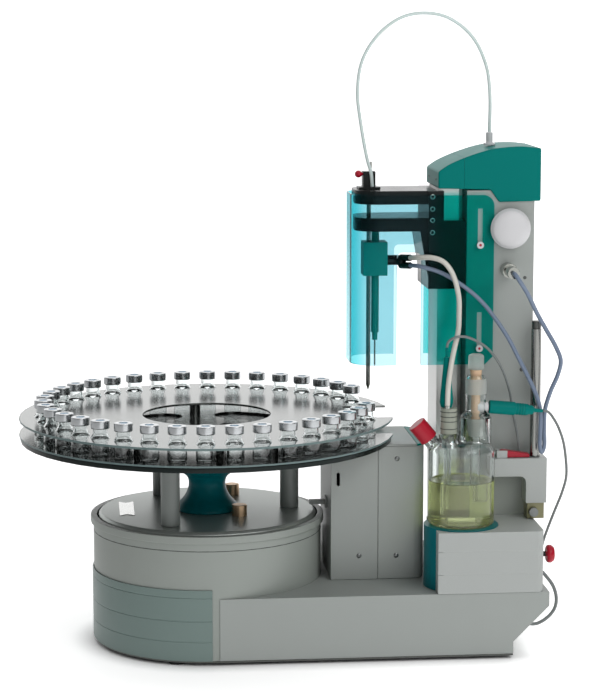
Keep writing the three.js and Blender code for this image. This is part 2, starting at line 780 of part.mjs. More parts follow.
// Turntable
const bigGear = piece("drive_gear", gear(gearTeeth, driveBottom, driveTop, shaftHole), brushed, rackGroup);
bigGear.rotation.z = pinionDirection - rackGroup.rotation.z;
piece("turntable_shaft", turned([
  [0, seatBottom - gearModule], [collarRadius, seatBottom - gearModule], [collarRadius, seatTop],
  [shaftRadius, seatTop], [shaftRadius, bearingTop + gap], [collarRadius, bearingTop + gap],
  [collarRadius, shoulderTop], [shaftRadius, shoulderTop], [shaftRadius, driveTop], [0, driveTop],
]), steel, rackGroup);
piece("turntable_disc", join([
  turned([
    [0, discBottom], [discRadius, discBottom], [discRadius, discTop - discBevel],
    [discRadius - discBevel, discTop], [0, discTop],
  ]),
  upright(...polar(nearPinCircleRadius, nearPinTurn), discBottom, discTop + pinHeight, pinRadius),
  upright(...polar(farPinCircleRadius, farPinTurn), discBottom, discTop + pinHeight, pinRadius),
]), darkMetal, rackGroup);

// Heights of the rack, from the oven's lid up
const lidBottom = ovenTop + gap;
const lidTop = lidBottom + lidThickness;
const lowDiscBottom = lidTop + rackClear;
const lowDiscTop = lowDiscBottom + bottomDiscThickness;
const carrierBottom = lowDiscTop + gap;
const carrierTop = carrierBottom + carrierThickness;
const plateBottom = carrierTop + plateSpace;
const rackTop = plateBottom + topPlateThickness;
const hubFoot = discTop + gap;
const hubTop = lowDiscBottom - gap - hubFoot;
for (const i of [0, 1, 2]) {
  const [x, y] = polar(discRadius - postInset, (360 * i) / 3);
  piece("post_" + (i + 1), upright(x, y, hubFoot, hubFoot + hubTop, postRadius), brushed, rackGroup);
}
piece("rack_hub", turned([
  [0, 0], ...hubShares.map(([r, h]) => [r * hubRadius, h * hubHeight]), [hubNeckRadius, hubHeight],
  [hubNeckRadius, hubTop], [0, hubTop],
], [0, 0, hubFoot], [0, 0, 1], hubSides), teal, rackGroup);

const vialSpots = Array.from({ length: lastVialPlace - firstVialPlace + 1 }, (unused, i) => (
  polar(vialCircleRadius, (360 * (firstVialPlace + i)) / vialPlaces)
));
const notch = box(vialCircleRadius - notchDepth, rackRadius + over, -notchFrontHalf, notchRearHalf,
  lowDiscBottom - over, rackTop + over);
piece("rack_bottom_disc", cut(
  upright(0, 0, lowDiscBottom, lowDiscTop, rackRadius - bottomDiscLip),
  [notch],
), smoke, rackGroup);
const vialFoot = carrierTop - carrierThickness / 2;
const capFoot = rackTop + vialNeckHeight;
const vialProfile = [
  [0, vialFoot], [vialRadius, vialFoot], [vialRadius, rackTop + vialShoulder],
  [vialNeckRadius, rackTop + 2 * vialShoulder], [vialNeckRadius, capFoot], [capRadius, capFoot],
  [capRadius, capFoot + capHeight], [0, capFoot + capHeight],
];
const eyelets = [...Array(spacerCount).keys()].map((i) => (
  upright(...polar(eyeletCircleRadius, (360 * i) / spacerCount + eyeletTurn), carrierBottom - over,
    carrierTop + over, eyeletRadius)
));
piece("rack_vial_plate", cut(join([
  upright(0, 0, carrierBottom, carrierTop, rackRadius),
  ...vialSpots.map(([x, y]) => turned(vialProfile, [x, y, 0], [0, 0, 1], vialSides)),
]), [notch, ...eyelets]), brushed, rackGroup);
const spacerCircleRadius = rackHoleRadius + spacerInset;
piece("rack_top_plate", cut(join([
  cut(upright(0, 0, plateBottom, rackTop, rackRadius), [
    upright(0, 0, plateBottom - over, rackTop + over, rackHoleRadius),
  ]),
  ...[...Array(spacerCount).keys()].map((i) => (
    upright(...polar(spacerCircleRadius, (360 * i) / spacerCount + spacerTurn), carrierTop + gap, rackTop,
      spacerRadius)
  )),
]), [
  notch,
  ...vialSpots.map(([x, y]) => (
    upright(x, y, plateBottom - over, rackTop + over, vialRadius + 2 * gap, vialSides)
  )),
]), brushed, rackGroup);

// Oven
const ovenPlan = rounded(-ovenFront, ovenRear, -ovenHalfWidth, ovenHalfWidth, [0, ovenCorner, ovenCorner, 0]);
const ovenCorners = [0, ovenCorner - sheet, ovenCorner - sheet, 0];
const ovenWalls = cut(slab(ovenPlan, standFoot, ovenTop), [
  slab(rounded(sheet - ovenFront, ovenRear - sheet, sheet - ovenHalfWidth, ovenHalfWidth - sheet, ovenCorners),
    standFoot - over, ovenTop + over),
]);
const ovenPart = (x0, x1, z0, z1) => box(x0, x1, -ovenHalfWidth - over, ovenHalfWidth + over, z0, z1);
const slotX = slotInset - ovenFront;
const slotTop = ovenTop - slotDrop;
const slotEnds = [slotTop - slotHeight + slotWidth / 2, slotTop - slotWidth / 2];
const slotFrom = -ovenHalfWidth - over;
const slotTo = over - ovenHalfWidth;
const fingerSlot = join([
  box(slotX - slotWidth / 2, slotX + slotWidth / 2, slotFrom, slotTo, ...slotEnds),
  ...slotEnds.map((z) => rod([slotX, slotFrom, z], [slotX, slotTo, z], slotWidth / 2)),
]);
piece("oven_left_cover", cut(
  ovenWalls.intersect(ovenPart(-ovenFront - over, ovenSeamX - gap / 2, 0, ovenTop + over)),
  [fingerSlot],
), greyPaint, rear);
piece("oven_right_cover", ovenWalls.intersect(
  ovenPart(ovenSeamX + gap / 2, ovenRear + over, 0, ovenTop + over),
), greyPaint, rear);
const stripX = ovenRear - stripWidth;
const ovenCap = slab(ovenPlan, lidBottom, lidTop);
piece("oven_lid", cut(ovenCap.intersect(ovenPart(-ovenFront - over, stripX - gap / 2, 0, lidTop + over)), [
  upright(0, 0, lidBottom - over, lidTop + over, wellRadius + slip),
]), palePaint, rear);
piece("oven_side_strip", ovenCap.intersect(sideways(shapeOf([
  [stripX + gap / 2, lidBottom - over], [ovenRear + over, lidBottom - over], [ovenRear + over, lidBottom],
  [ovenRear, lidBottom + gap], [ovenRear - lidThickness, lidTop + gap], [stripX + gap / 2, lidTop + gap],
]), -ovenHalfWidth - over, ovenHalfWidth + over)), teal, rear);
const blockTop = lidBottom - blockClear;
piece("oven_heater_block", cut(join([
  upright(0, 0, blockTop - blockHeight, blockTop, blockRadius),
  upright(0, 0, standFoot, blockTop - blockHeight / 2, blockFootRadius),
]), [upright(0, 0, blockTop - wellDepth, blockTop + over, wellRadius)]), brushed, rear);
const armEndX = -ovenFront - gap;
const sensorZ = discTop + sensorRise;
piece("sensor_arm", join([
  box(armEndX - sensorReach, armEndX, sensorY - sensorHalf, sensorY + sensorHalf, sensorZ,
    sensorZ + sensorHeight),
  box(armEndX - sheet, armEndX, sensorY - sensorHalf - sensorFlange, sensorY + sensorHalf + sensorFlange,
    sensorZ - sensorFlange, sensorZ + sensorHeight + sensorFlange),
]), palePaint, rear);

// Tower
const webRearX = columnFrontX - gap;
const nutSlotHalf = fingerHalf + fingerPlay;
const followerZ = carriageTop - followerDrop;
piece("tower_rail", cut(join([
  cut(box(railFrontX, railRearX, -railHalf, railHalf, standFoot, railTop), [
    box(railFrontX + railWall, railRearX - railWall, railWall - railHalf, railHalf - railWall, 0,
      railTop - railWall),
  ]),
  box(railRearX - railWall / 2, webRearX, -webHalf, webHalf, standFoot, railTop),
]), [
  upright(screwX, screwY, railTop - over, railTop + over, screwRadius + slip),
  box(railRearX - over, railRearX + over, screwY - nutSlotHalf, screwY + nutSlotHalf,
    followerZ - liftTravel - over, followerZ + followerHeight + over),
]), palePaint, rear);
const slideX = columnFrontX + slideInset;
const shieldTop = columnTop - shieldDrop;
const shieldBottom = shieldTop - shieldHeight;
const slideHeights = [shieldTop - upperSlideDrop, shieldBottom + lowerSlideRise];
const shieldInner = columnHalf + shieldClear;
const shieldHalf = shieldInner + shieldThickness;
const slideBosses = sides.flatMap((side) => slideHeights.flatMap((z) => [
  rod([slideX, side * (columnHalf - columnWall / 2), z], [slideX, side * (shieldInner - gap), z],
    slideBossRadius),
  rod([slideX, side * columnHalf, z], [slideX, side * (shieldHalf + 2 * gap), z], slidePinRadius),
  rod([slideX, side * (shieldHalf + gap), z], [slideX, side * (shieldHalf + gap + slideHead), z],
    slideHeadRadius),
]));
piece("tower_column", join([
  cut(box(columnFrontX, columnRearX, -columnHalf, columnHalf, standFoot, columnTop), [
    box(columnFrontX + columnWall, columnRearX - columnWall, columnWall - columnHalf, columnHalf - columnWall, 0,
      columnTop - columnWall),
  ]),
  ...slideBosses,
]), greyPaint, rear);
const hoodFrontX = railFrontX - hoodFrontLip;
const hoodLength = columnRearX + hoodRearLip - hoodFrontX;
const hoodFoot = columnTop - hoodDrop;
const onHood = ([along, up]) => [hoodFrontX + along * hoodLength, hoodFoot + up * hoodHeight];
const hoodOutline = hoodShares.map(onHood);
const hoodHalf = columnHalf + hoodOverhang;
const hoodInner = inset(hoodOutline, hoodWall);
const [nutX, nutSeat] = onHood(nutPlaceShares);
piece("tower_hood", join([
  cut(sideways(shapeOf(hoodOutline), -hoodHalf, hoodHalf), [
    sideways(shapeOf(hoodInner), hoodWall - hoodHalf, hoodHalf - hoodWall),
    sideways(shapeOf(hoodInner.map(([x, z]) => [x, z - 2 * over])), hoodWall - hoodHalf, hoodHalf - hoodWall),
  ]),
  upright(nutX, 0, nutSeat - over, nutSeat, nutFlangeRadius + slip),
]), teal, rear);
piece("tube_nut", turned([
  [0, 0], [nutFlangeRadius, 0], [nutFlangeRadius, nutFlange], [nutRadius, nutFlange],
  [nutRadius, nutFlange + nutHeight], [0, nutFlange + nutHeight],
], [nutX, 0, nutSeat + gap]), white, rear);
const liftMotorTop = baseTop - baseWall - gap;
piece("lift_motor", cut(
  box(screwX - motorHalf, screwX + motorHalf, screwY - motorHalf, screwY + motorHalf,
    liftMotorTop - liftMotorHeight, liftMotorTop),
  [upright(screwX, screwY, liftMotorTop - journal - slip, liftMotorTop + over, journalRadius + slip)],
), darkMetal, rear);
piece("lead_screw", turned([
  [0, liftMotorTop - journal], [journalRadius, liftMotorTop - journal], [journalRadius, liftMotorTop + gap],
  [screwRadius, liftMotorTop + gap], [screwRadius, railTop - gap], [0, railTop - gap],
], [screwX, screwY, 0]), steel, rear);
const nearFace = -columnHalf - gap;
const [domeWaist, domeEdge] = domeBulgeShares;
piece("filter_dome", turned([
  [0, 0], [domeNeckRadius, 0], [domeNeckRadius, domeNeck], [domeRadius, domeNeck],
  [domeRadius, domeNeck + domeRim], [domeEdge[0] * domeRadius - domeRim, domeNeck + domeEdge[1] * domeDepth],
  [domeWaist[0] * domeRadius, domeNeck + domeWaist[1] * domeDepth], [0, domeNeck + domeDepth],
], [columnFrontX + domeInset, nearFace, columnTop - domeDrop], [0, -1, 0]), white, rear);
piece("heater_socket", turned([
  [0, 0], [socketRadius, 0], [socketRadius, socketDepth], [plugRadius, socketDepth],
  [plugRadius, socketDepth + plugDepth], [0, socketDepth + plugDepth],
], [columnFrontX + socketInset, nearFace, columnTop - socketDrop], [0, -1, 0]), chrome, rear);

// Lift
const lowerArmTop = -armThickness - armSpace;
const lowerArmBottom = lowerArmTop - armThickness;
const gussetX = carriageFrontX - gussetReach;
const gussetBottom = lowerArmBottom - gussetHeight;
const armPlan = rounded(-armNose, carriageFrontX + gap, -armHalf, armHalf, [armCorner, 0, 0, armCorner]);
const plateInner = carriageHalf - sidePlate;
const lipHalf = webHalf + lipPlay;
const lipFrontX = railRearX + slip;
const lipRearX = columnFrontX - slip;
const followerFrontX = railFrontX + railWall + followerPlay;
const followerRearX = railRearX - railWall - 2 * slip;
const carriageSides = sides.flatMap((side) => {
  const [y0, y1] = [side * plateInner, side * carriageHalf].toSorted((a, b) => a - b);
  const [lip0, lip1] = [side * lipHalf, side * carriageHalf].toSorted((a, b) => a - b);
  return [
    box(carriageFrontX, lipRearX, y0, y1, -carriageHeight, -carriageShoulder),
    box(carriageFrontX, carriageFrontX + carriageShoulderDepth, y0, y1, -carriageHeight, 0),
    box(lipFrontX, lipRearX, lip0, lip1, -carriageHeight, -carriageShoulder),
  ];
});
piece("lift_carriage", cut(join([
  slab(armPlan, -armThickness, 0),
  slab(armPlan, lowerArmBottom, lowerArmTop),
  box(carriageFrontX, railFrontX - slip / 2, -carriageHalf, carriageHalf, -carriageHeight, 0),
  sideways(shapeOf([
    [gussetX, lowerArmBottom], [carriageFrontX, gussetBottom], [carriageFrontX + gap, gussetBottom],
    [carriageFrontX + gap, lowerArmTop], [gussetX, lowerArmTop],
  ]), -armHalf, armHalf),
  ...carriageSides,
  box(followerRearX - gap, lipRearX, screwY - fingerHalf, screwY + fingerHalf, -followerDrop,
    followerHeight - followerDrop),
  box(followerFrontX, followerRearX, screwY - followerHalf, screwY + followerHalf, -followerDrop,
    followerHeight - followerDrop),
]), [
  upright(0, 0, lowerArmBottom - over, over, needleRadius + slip),
  upright(screwX, screwY, -followerDrop - over, followerHeight - followerDrop + over, screwRadius + 2 * gap),
]), black, lift);
piece("needle_holder", cut(join([
  box(-holderFlangeFront, holderFlangeRear, -holderFlangeHalf, holderFlangeHalf, gap, gap + holderFlange),
  box(-holderFront, holderRear, -holderHalf, holderHalf, gap, holderHeight),
  upright(holderRear - lockPinInset, 0, gap, lockPinHeight, lockPinRadius),
]), [
  rod([-holderFront - over, knobY, knobRise], [knobBore + slip - holderFront, knobY, knobRise],
    knobStemRadius + gap),
]), black, lift);
const knobX = -holderFront - knobBallRadius - slip;
piece("needle_lock_knob", join([
  ball(knobX, knobY, knobRise, knobBallRadius),
  rod([knobX, knobY, knobRise], [knobBore - holderFront, knobY, knobRise], knobStemRadius),
]), red, lift);
const needleTip = rackTop + needleClear - carriageTop;
piece("needle_tube", turned([
  [0, needleTip], [needleRadius, needleTip + 3 * needleRadius], [needleRadius, 0], [0, 0],
]), steel, lift);
const stepFoot = -outletDrop - outletStep;
piece("outlet_tube", turned([
  [0, stepFoot - outletTipLength], [outletTipRadius, stepFoot - outletTipLength], [outletTipRadius, stepFoot],
  [outletStepRadius, stepFoot], [outletStepRadius, -outletDrop], [outletRadius, -outletDrop],
  [outletRadius, lowerArmBottom - gap], [0, lowerArmBottom - gap],
], [outletX, 0, 0]), steel, lift);
const heaterTop = -heaterDrop;
const heaterBottom = heaterTop - heaterHeight;
piece("tube_heater", cut(box(-heaterFront, heaterRear, -heaterHalf, heaterHalf, heaterBottom, heaterTop), [
  upright(0, 0, heaterBottom - over, heaterTop + over, needleRadius + gap),
  upright(outletX, 0, heaterBottom - over, heaterTop + over, outletRadius + gap),
]), tealDark, lift);
const connectorZ = -connectorDrop;
const bossWay = new THREE.Vector3(...bossWayShares).normalize().multiplyScalar(bossLength);
const bosses = sides.map((side) => side * bossSpacing / 2 + connectorZ).map((z) => (
  rod([connectorRearX, connectorElbowY, z],
    [connectorRearX + bossWay.x, connectorElbowY + bossWay.y, z + bossWay.z], bossRadius)
));
piece("outlet_connector", join([
  rod([heaterRear + gap, 0, connectorZ], [connectorRearX, 0, connectorZ], connectorRadius),
  ball(connectorRearX, 0, connectorZ, connectorRadius),
  rod([connectorRearX, 0, connectorZ], [connectorRearX, connectorElbowY, connectorZ], connectorRadius),
  ball(connectorRearX, connectorElbowY, connectorZ, connectorRadius),
  ...bosses,
]), black, lift);

// Shield
const shieldRearX = slideX + shieldReach;
const innerBend = shieldBend - shieldThickness;
const windowTop = shieldBottom + windowHeight;
const shieldSide = new THREE.Shape();
shieldSide.moveTo(-shieldFront - over, shieldBottom);
shieldSide.lineTo(shieldRearX - shieldChamfer, shieldBottom);
shieldSide.lineTo(shieldRearX, shieldBottom + shieldChamfer);
shieldSide.absarc(shieldRearX - shieldCorner, shieldTop - shieldCorner, shieldCorner, 0, Math.PI / 2);
shieldSide.lineTo(-shieldFront - over, shieldTop);
const slideHalf = slidePinRadius + slideGap;
const shieldSlots = slideHeights.map((z) => (
  box(slideX - slideHalf, slideX + slideHalf, -shieldHalf - over, shieldHalf + over,
    z - slidePinRadius - slidePlay, z + shieldTravel + slidePinRadius + slidePlay)
));
const sideWindow = (x0, x1, y0, y1) => sideways(
  rounded(x0, x1, shieldBottom - over, windowTop, [0, 0, windowCorner, windowCorner]), y0, y1);
piece("shield", cut(
  slab(rounded(-shieldFront, shieldRearX, -shieldHalf, shieldHalf, [shieldBend, 0, 0, shieldBend]), shieldBottom,
    shieldTop).intersect(sideways(shieldSide, -shieldHalf - over, shieldHalf + over)),
  [
    slab(rounded(shieldThickness - shieldFront, shieldRearX + over, -shieldInner, shieldInner,
      [innerBend, 0, 0, innerBend]), shieldBottom - over, shieldTop + over),
    ...shieldSlots,
    sideWindow(nearWindowFrontX, nearWindowRearX, -shieldHalf - over, -shieldInner + over),
    sideWindow(farWindowFrontX, farWindowRearX, shieldInner - over, shieldHalf + over),
  ],
), shieldTint, rear);

// Stirrer stand
const standInside = rounded(standFrontX + standWall, standRear - standWall, standNearY + standWall,
  standFarY - standWall, [standCorner - standWall, standCorner - standWall, 0, 0]);
const buttonZ = standTop - buttonDrop;
piece("stirrer_housing", cut(
  slab(rounded(standFrontX, standRear, standNearY, standFarY, [standCorner, standCorner, 0, 0]), standFoot,
    standTop),
  [
    slab(standInside, standFoot - over, standTop - standWall),
    upright(0, 0, standFoot - over, standTop + over, platformRadius + gap),
    rod([standRear - over, buttonY, buttonZ], [standRear + over, buttonY, buttonZ], buttonStemRadius + slip),
  ],
), greyPaint, stand);
const platformInner = platformRadius - standWall;
const barReach = platformInner + standWall / 2;
const magnetFoot = platformTop - standWall - magnetClear - magnetHeight;
const barTop = magnetFoot - gap;
const barFoot = barTop - magnetBarHeight;
piece("stirrer_platform", cut(join([
  cut(upright(0, 0, standFoot, platformTop, platformRadius), [
    upright(0, 0, standFoot - over, platformTop - standWall, platformInner),
  ]),
  box(-barReach, barReach, -magnetBarHalf, magnetBarHalf, barFoot, barTop),
]), [
  upright(0, 0, barFoot - over, barTop + over, magnetShaftRadius + slip),
]), teal, stand);
piece("drive_magnet", join([
  upright(0, 0, magnetFoot, magnetFoot + magnetHeight, magnetRadius),
  upright(0, 0, magnetFoot - magnetShaft, magnetFoot + magnetHeight / 2, magnetShaftRadius),
]), darkMetal, stand);
const buttonX = standRear + buttonStem;
piece("stirrer_knob", join([
  rod([standRear - standWall - over, buttonY, buttonZ], [buttonX + slip, buttonY, buttonZ], buttonStemRadius),
  turned([
    [0, 0], ...buttonShares.map(([r, h]) => [r * buttonRadius, h * buttonThickness]), [0, buttonThickness],
  ], [buttonX, buttonY, buttonZ], [1, 0, 0]),
]), red, stand);

// Cell
const shoulderFoot = vesselHeight - vesselShoulder;
const insideRadius = vesselRadius - vesselWall;
const insideTop = vesselHeight - vesselWall;
const bigNeckTop = vesselHeight + bigNeckHeight;
const bigBore = bigNeckRadius - bigNeckWall;
const smallNeckTop = vesselHeight + smallNeckHeight;
const smallBore = smallNeckRadius - smallNeckWall;
const shoulder = (radius, foot, top) => shoulderStepShares.map((share) => {
  const angle = (share * Math.PI) / 2;
  return [radius - radius * shoulderRoundShare * (1 - Math.cos(angle)), foot + (top - foot) * Math.sin(angle)];
});
const capNeckWay = [-Math.sin(capNeckTilt), 0, Math.cos(capNeckTilt)];
const onCapNeck = (run) => [
  capNeckX + capNeckWay[0] * run, 0, vesselHeight - capNeckDrop + capNeckWay[2] * run,
];
piece("vessel", cut(join([
  turned([
    [0, 0], [insideRadius, 0], [vesselRadius, vesselWall], ...shoulder(vesselRadius, shoulderFoot, vesselHeight),
    [0, vesselHeight],
  ]),
  upright(bigNeckX, bigNeckY, shoulderFoot, bigNeckTop, bigNeckRadius),
  upright(smallNeckX, smallNeckY, shoulderFoot, smallNeckTop, smallNeckRadius),
  rod(onCapNeck(-vesselWall), onCapNeck(capNeckLength), capNeckRadius),
]), [
  turned([
    [0, vesselWall], [insideRadius - vesselWall, vesselWall], [insideRadius, 2 * vesselWall],
    ...shoulder(insideRadius, shoulderFoot - vesselWall / 2, insideTop), [0, insideTop],
  ]),
  upright(bigNeckX, bigNeckY, shoulderFoot - over, bigNeckTop + over, bigBore),
  upright(smallNeckX, smallNeckY, shoulderFoot - over, smallNeckTop + over, smallBore),
  rod(onCapNeck(-over), onCapNeck(capNeckLength + over), capNeckRadius - capNeckWall),
]), glass, cell);
const screwCapInner = capNeckRadius + 2 * gap;
const screwCapRadius = screwCapInner + screwCapWall;
const screwCapDepth = capNeckLength - screwCapStart + 2 * gap;
piece("cell_cap", turned([
  [0, screwCapLength], [screwCapRadius, screwCapLength], [screwCapRadius, 0], [screwCapInner, 0],
  [screwCapInner, screwCapDepth], [0, screwCapDepth],
], onCapNeck(screwCapStart), capNeckWay), red, cell);
const barZ = vesselWall + gap + stirBarRadius;
piece("stir_bar", rod([-stirBarHalf, 0, barZ], [stirBarHalf, 0, barZ], stirBarRadius), white, cell);

const stopperTop = smallNeckTop + stopperHeight;
const stopperFoot = smallNeckTop - stopperPlug;
const inStopper = stopperFoot + over / 2;
const indicatorTop = stopperTop + indicatorLength;
const fromNeck = ([x, y]) => [smallNeckX + x, smallNeckY + y];
piece("indicator_electrode", join([
  upright(smallNeckX, smallNeckY, smallNeckTop + gap, stopperTop, smallBore + stopperLip),
  upright(smallNeckX, smallNeckY, stopperFoot, smallNeckTop + over, smallBore - stopperClear),
  upright(smallNeckX, smallNeckY, electrodeClear, inStopper, electrodeShaftRadius),
  upright(...fromNeck(gasTubePlace), gasTubeClear, inStopper, gasTubeRadius),
  turned([
    [0, stopperTop - indicatorFoot], [indicatorFootRadius, stopperTop - indicatorFoot],
    [indicatorFootRadius, stopperTop], [indicatorMidRadius, stopperTop + indicatorFoot],
    [indicatorNeckRadius, indicatorTop], [indicatorReliefRadius, indicatorTop],
    [indicatorReliefRadius, indicatorTop + indicatorRelief], [0, indicatorTop + indicatorRelief],
  ], [...fromNeck(indicatorPlace), 0]),
  upright(...fromNeck(nozzlePlace), stopperTop - nozzleRadius, stopperTop + nozzleHeight, nozzleRadius),
]), teal, cell);
const jointRadius = bigBore - jointClear;
const jointFoot = bigNeckTop - jointDepth;
const collarFoot = bigNeckTop + gap;
const collarTop = collarFoot + jointCollar;
const jointCollarRadius = bigNeckRadius - jointCollarInset;
const tubeTop = bigNeckTop + tubeHeight;
const coreTop = tubeTop + coreHeight;
const socketAt = bigNeckTop + sideSocketRise;
piece("generator_electrode", join([
  turned([
    [0, generatorClear], [generatorRodRadius, generatorClear], [generatorRodRadius, jointFoot],
    [jointRadius - jointTaper, jointFoot], [jointRadius, collarFoot], [jointCollarRadius, collarFoot],
    [jointCollarRadius, collarTop], [tubeRadius, collarTop + jointCollar], [tubeRadius, tubeTop],
    [coreRadius, tubeTop], [coreRadius, coreTop], [whiteCapRadius, coreTop],
    [whiteCapRadius, coreTop + whiteCapHeight], [0, coreTop + whiteCapHeight],
  ], [bigNeckX, bigNeckY, 0]),
  rod([bigNeckX, bigNeckY, socketAt], [bigNeckX + sideSocketReach, bigNeckY, socketAt], sideSocketRadius),
]), glass, cell);
piece("generator_plug", turned(
  generatorPlugShares.map(([r, h]) => [r * generatorPlugRadius, h * generatorPlugLength]),
  [bigNeckX + sideSocketReach + generatorPlugClear, bigNeckY, socketAt],
  [Math.cos(generatorPlugDrop), 0, -Math.sin(generatorPlugDrop)],
), teal, cell);

// Support
const rodX = standRear + rodOverhang;
const rodBore = rodRadius + gap;
const clampTop = standTop + clampHeight;
const thumbX = rodX - thumbInset;
const thumbZ = standTop + thumbRise;
const thumbFace = rodY - clampHalf;
piece("support_rod", upright(rodX, rodY, standTop + gap, standTop + rodHeight, rodRadius), steel, stand);
piece("rod_clamp", cut(
  box(rodX - clampHalf, rodX + clampHalf, thumbFace, rodY + clampHalf, standTop + gap, clampTop),
  [
    upright(rodX, rodY, standTop - over, clampTop + over, rodBore),
    rod([thumbX, thumbFace - over, thumbZ], [thumbX, thumbFace + thumbStem + gap, thumbZ], thumbStemRadius + gap),
  ],
), olive, stand);
piece("thumb_screw", join([
  rod([thumbX, thumbFace - gap - thumbDepth, thumbZ], [thumbX, thumbFace - gap, thumbZ], thumbRadius),
  rod([thumbX, thumbFace - gap - thumbDepth, thumbZ], [thumbX, thumbFace + thumbStem, thumbZ], thumbStemRadius),
]), brushed, stand);
const bracketFrontX = vesselRadius + bracketClear;
const bracketRearX = rodX + bracketBack;
const bracketLegX = rodX - bracketBack;
const bracketBottom = clampTop + gap;
const bracketTop = bracketBottom + bracketHeight;
const armFoot = bracketTop - bracketArm;
const bracketSide = new THREE.Shape();
bracketSide.moveTo(bracketFrontX, armFoot);
bracketSide.lineTo(bracketLegX - bracketCorner, armFoot);
bracketSide.quadraticCurveTo(bracketLegX, armFoot, bracketLegX, armFoot - bracketCorner);
bracketSide.lineTo(bracketLegX, bracketBottom);
bracketSide.lineTo(bracketRearX, bracketBottom);
bracketSide.lineTo(bracketRearX, bracketTop);
bracketSide.lineTo(bracketFrontX, bracketTop);
const leverX = bracketFrontX + leverInset;
const leverY = rodY - leverOffset;
const leverZ = bracketTop + gap + leverEyeRadius;
const webX = leverX - leverEyeRadius - 2 * gap;
const cheekY = [leverY - leverHalf - gap - cheek, leverY + leverHalf + gap];
const cheekTop = bracketTop + cheekHeight;
piece("cell_bracket", cut(join([
  sideways(bracketSide, rodY - bracketHalf, rodY + bracketHalf),
  ...cheekY.map((y) => box(webX - cheekWeb, leverX + cheekReach, y, y + cheek, bracketTop - cheek, cheekTop)),
  box(webX - cheekWeb, webX, cheekY[0], cheekY[1] + cheek, bracketTop - cheek, cheekTop),
  rod([leverX, cheekY[0] + cheek / 2, leverZ], [leverX, cheekY[1] + cheek / 2, leverZ], leverPinRadius),
  rod([bracketFrontX - stubReach, leverY, leverZ], [webX - gap, leverY, leverZ], stubRadius),
]), [upright(rodX, rodY, bracketBottom - over, bracketTop + over, rodBore)]), palePaint, stand);
const leverTipX = leverX + leverLength;
const leverFoot = leverZ - leverEyeRadius;
piece("clamp_lever", cut(join([
  rod([leverX, leverY - leverHalf, leverZ], [leverX, leverY + leverHalf, leverZ], leverEyeRadius),
  sideways(shapeOf([
    [leverX, leverFoot], [leverTipX, leverFoot], [leverTipX, leverFoot + leverThin],
    [leverX, leverZ + leverEyeRadius],
  ]), leverY - leverHalf, leverY + leverHalf),
]), [
  rod([leverX, leverY - leverHalf - over, leverZ], [leverX, leverY + leverHalf + over, leverZ],
    leverPinRadius + gap),
]), red, stand);

// The part's own frame: the middle of its rigid pieces over the table
const rigid = new THREE.Box3();
object.updateMatrixWorld(true);
object.traverse((part) => part.isMesh && rigid.expandByObject(part, true));
object.position.set(-(rigid.min.x + rigid.max.x) / 2, -(rigid.min.y + rigid.max.y) / 2, -rigid.min.z);

// Cords, each with its number of steps
piece("tube_loop", cord(loopRoute, loopRadius, 20), hoseWhite);
piece("gas_hose", cord(hoseRoute, hoseRadius, 12), hoseWhite);
piece("heater_cable", cord(heaterCableRoute, heaterCableRadius, 34), cableGrey);
piece("indicator_cable", cord(indicatorRoute, thinCableRadius, 9), cableGrey);
piece("generator_cable", cord(generatorRoute, thinCableRadius, 9), cableGrey);
piece("rear_cable", cord(rearRoute, rearCableRadius, 8), cableGrey);

export default object;
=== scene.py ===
"""Oven autosampler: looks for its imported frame.

Lengths in this script are millimetres from the turntable's axis and the table, unless a name says metres.
"""
import json
from math import cos, hypot, pi, radians, sin, sqrt

import bmesh
import bpy
from mathutils import Matrix, Vector

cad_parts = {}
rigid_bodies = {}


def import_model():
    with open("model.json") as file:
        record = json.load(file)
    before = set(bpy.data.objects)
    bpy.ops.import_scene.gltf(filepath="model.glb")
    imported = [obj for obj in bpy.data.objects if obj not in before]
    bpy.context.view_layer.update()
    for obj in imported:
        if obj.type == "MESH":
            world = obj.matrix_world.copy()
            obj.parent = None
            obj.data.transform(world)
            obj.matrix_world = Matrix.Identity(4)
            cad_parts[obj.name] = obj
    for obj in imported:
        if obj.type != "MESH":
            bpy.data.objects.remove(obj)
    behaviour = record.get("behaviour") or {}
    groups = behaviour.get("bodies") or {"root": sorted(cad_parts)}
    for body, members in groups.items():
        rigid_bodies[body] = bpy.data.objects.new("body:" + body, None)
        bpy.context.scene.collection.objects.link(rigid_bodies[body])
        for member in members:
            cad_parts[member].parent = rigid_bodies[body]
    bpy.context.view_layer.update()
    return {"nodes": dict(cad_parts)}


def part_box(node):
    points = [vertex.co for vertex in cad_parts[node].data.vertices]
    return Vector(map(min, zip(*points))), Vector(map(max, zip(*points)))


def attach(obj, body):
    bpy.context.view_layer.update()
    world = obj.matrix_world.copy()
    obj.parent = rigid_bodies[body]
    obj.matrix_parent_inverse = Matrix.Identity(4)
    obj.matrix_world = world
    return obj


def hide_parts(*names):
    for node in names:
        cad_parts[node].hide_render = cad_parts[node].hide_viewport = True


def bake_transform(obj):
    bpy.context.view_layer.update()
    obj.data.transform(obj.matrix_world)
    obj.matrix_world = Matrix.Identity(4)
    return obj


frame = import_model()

MM = 0.001
shaft_low, shaft_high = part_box("turntable_shaft")
AXIS_X = (shaft_low.x + shaft_high.x) / 2
BODY_OF = {node: obj.parent.name.split(":")[-1] for node, obj in frame["nodes"].items()}


def at(x, y, z):
    """A place in millimetres, as a point of the frame in metres."""
    return Vector((AXIS_X + x * MM, y * MM, z * MM))


def span(node):
    """Lowest and highest corner of a CAD node in millimetres from the turntable's axis."""
    return [(c - Vector((AXIS_X, 0, 0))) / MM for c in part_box(node)]


def add_object(name, data):
    thing = bpy.data.objects.new(name, data)
    bpy.context.scene.collection.objects.link(thing)
    return thing


# Camera

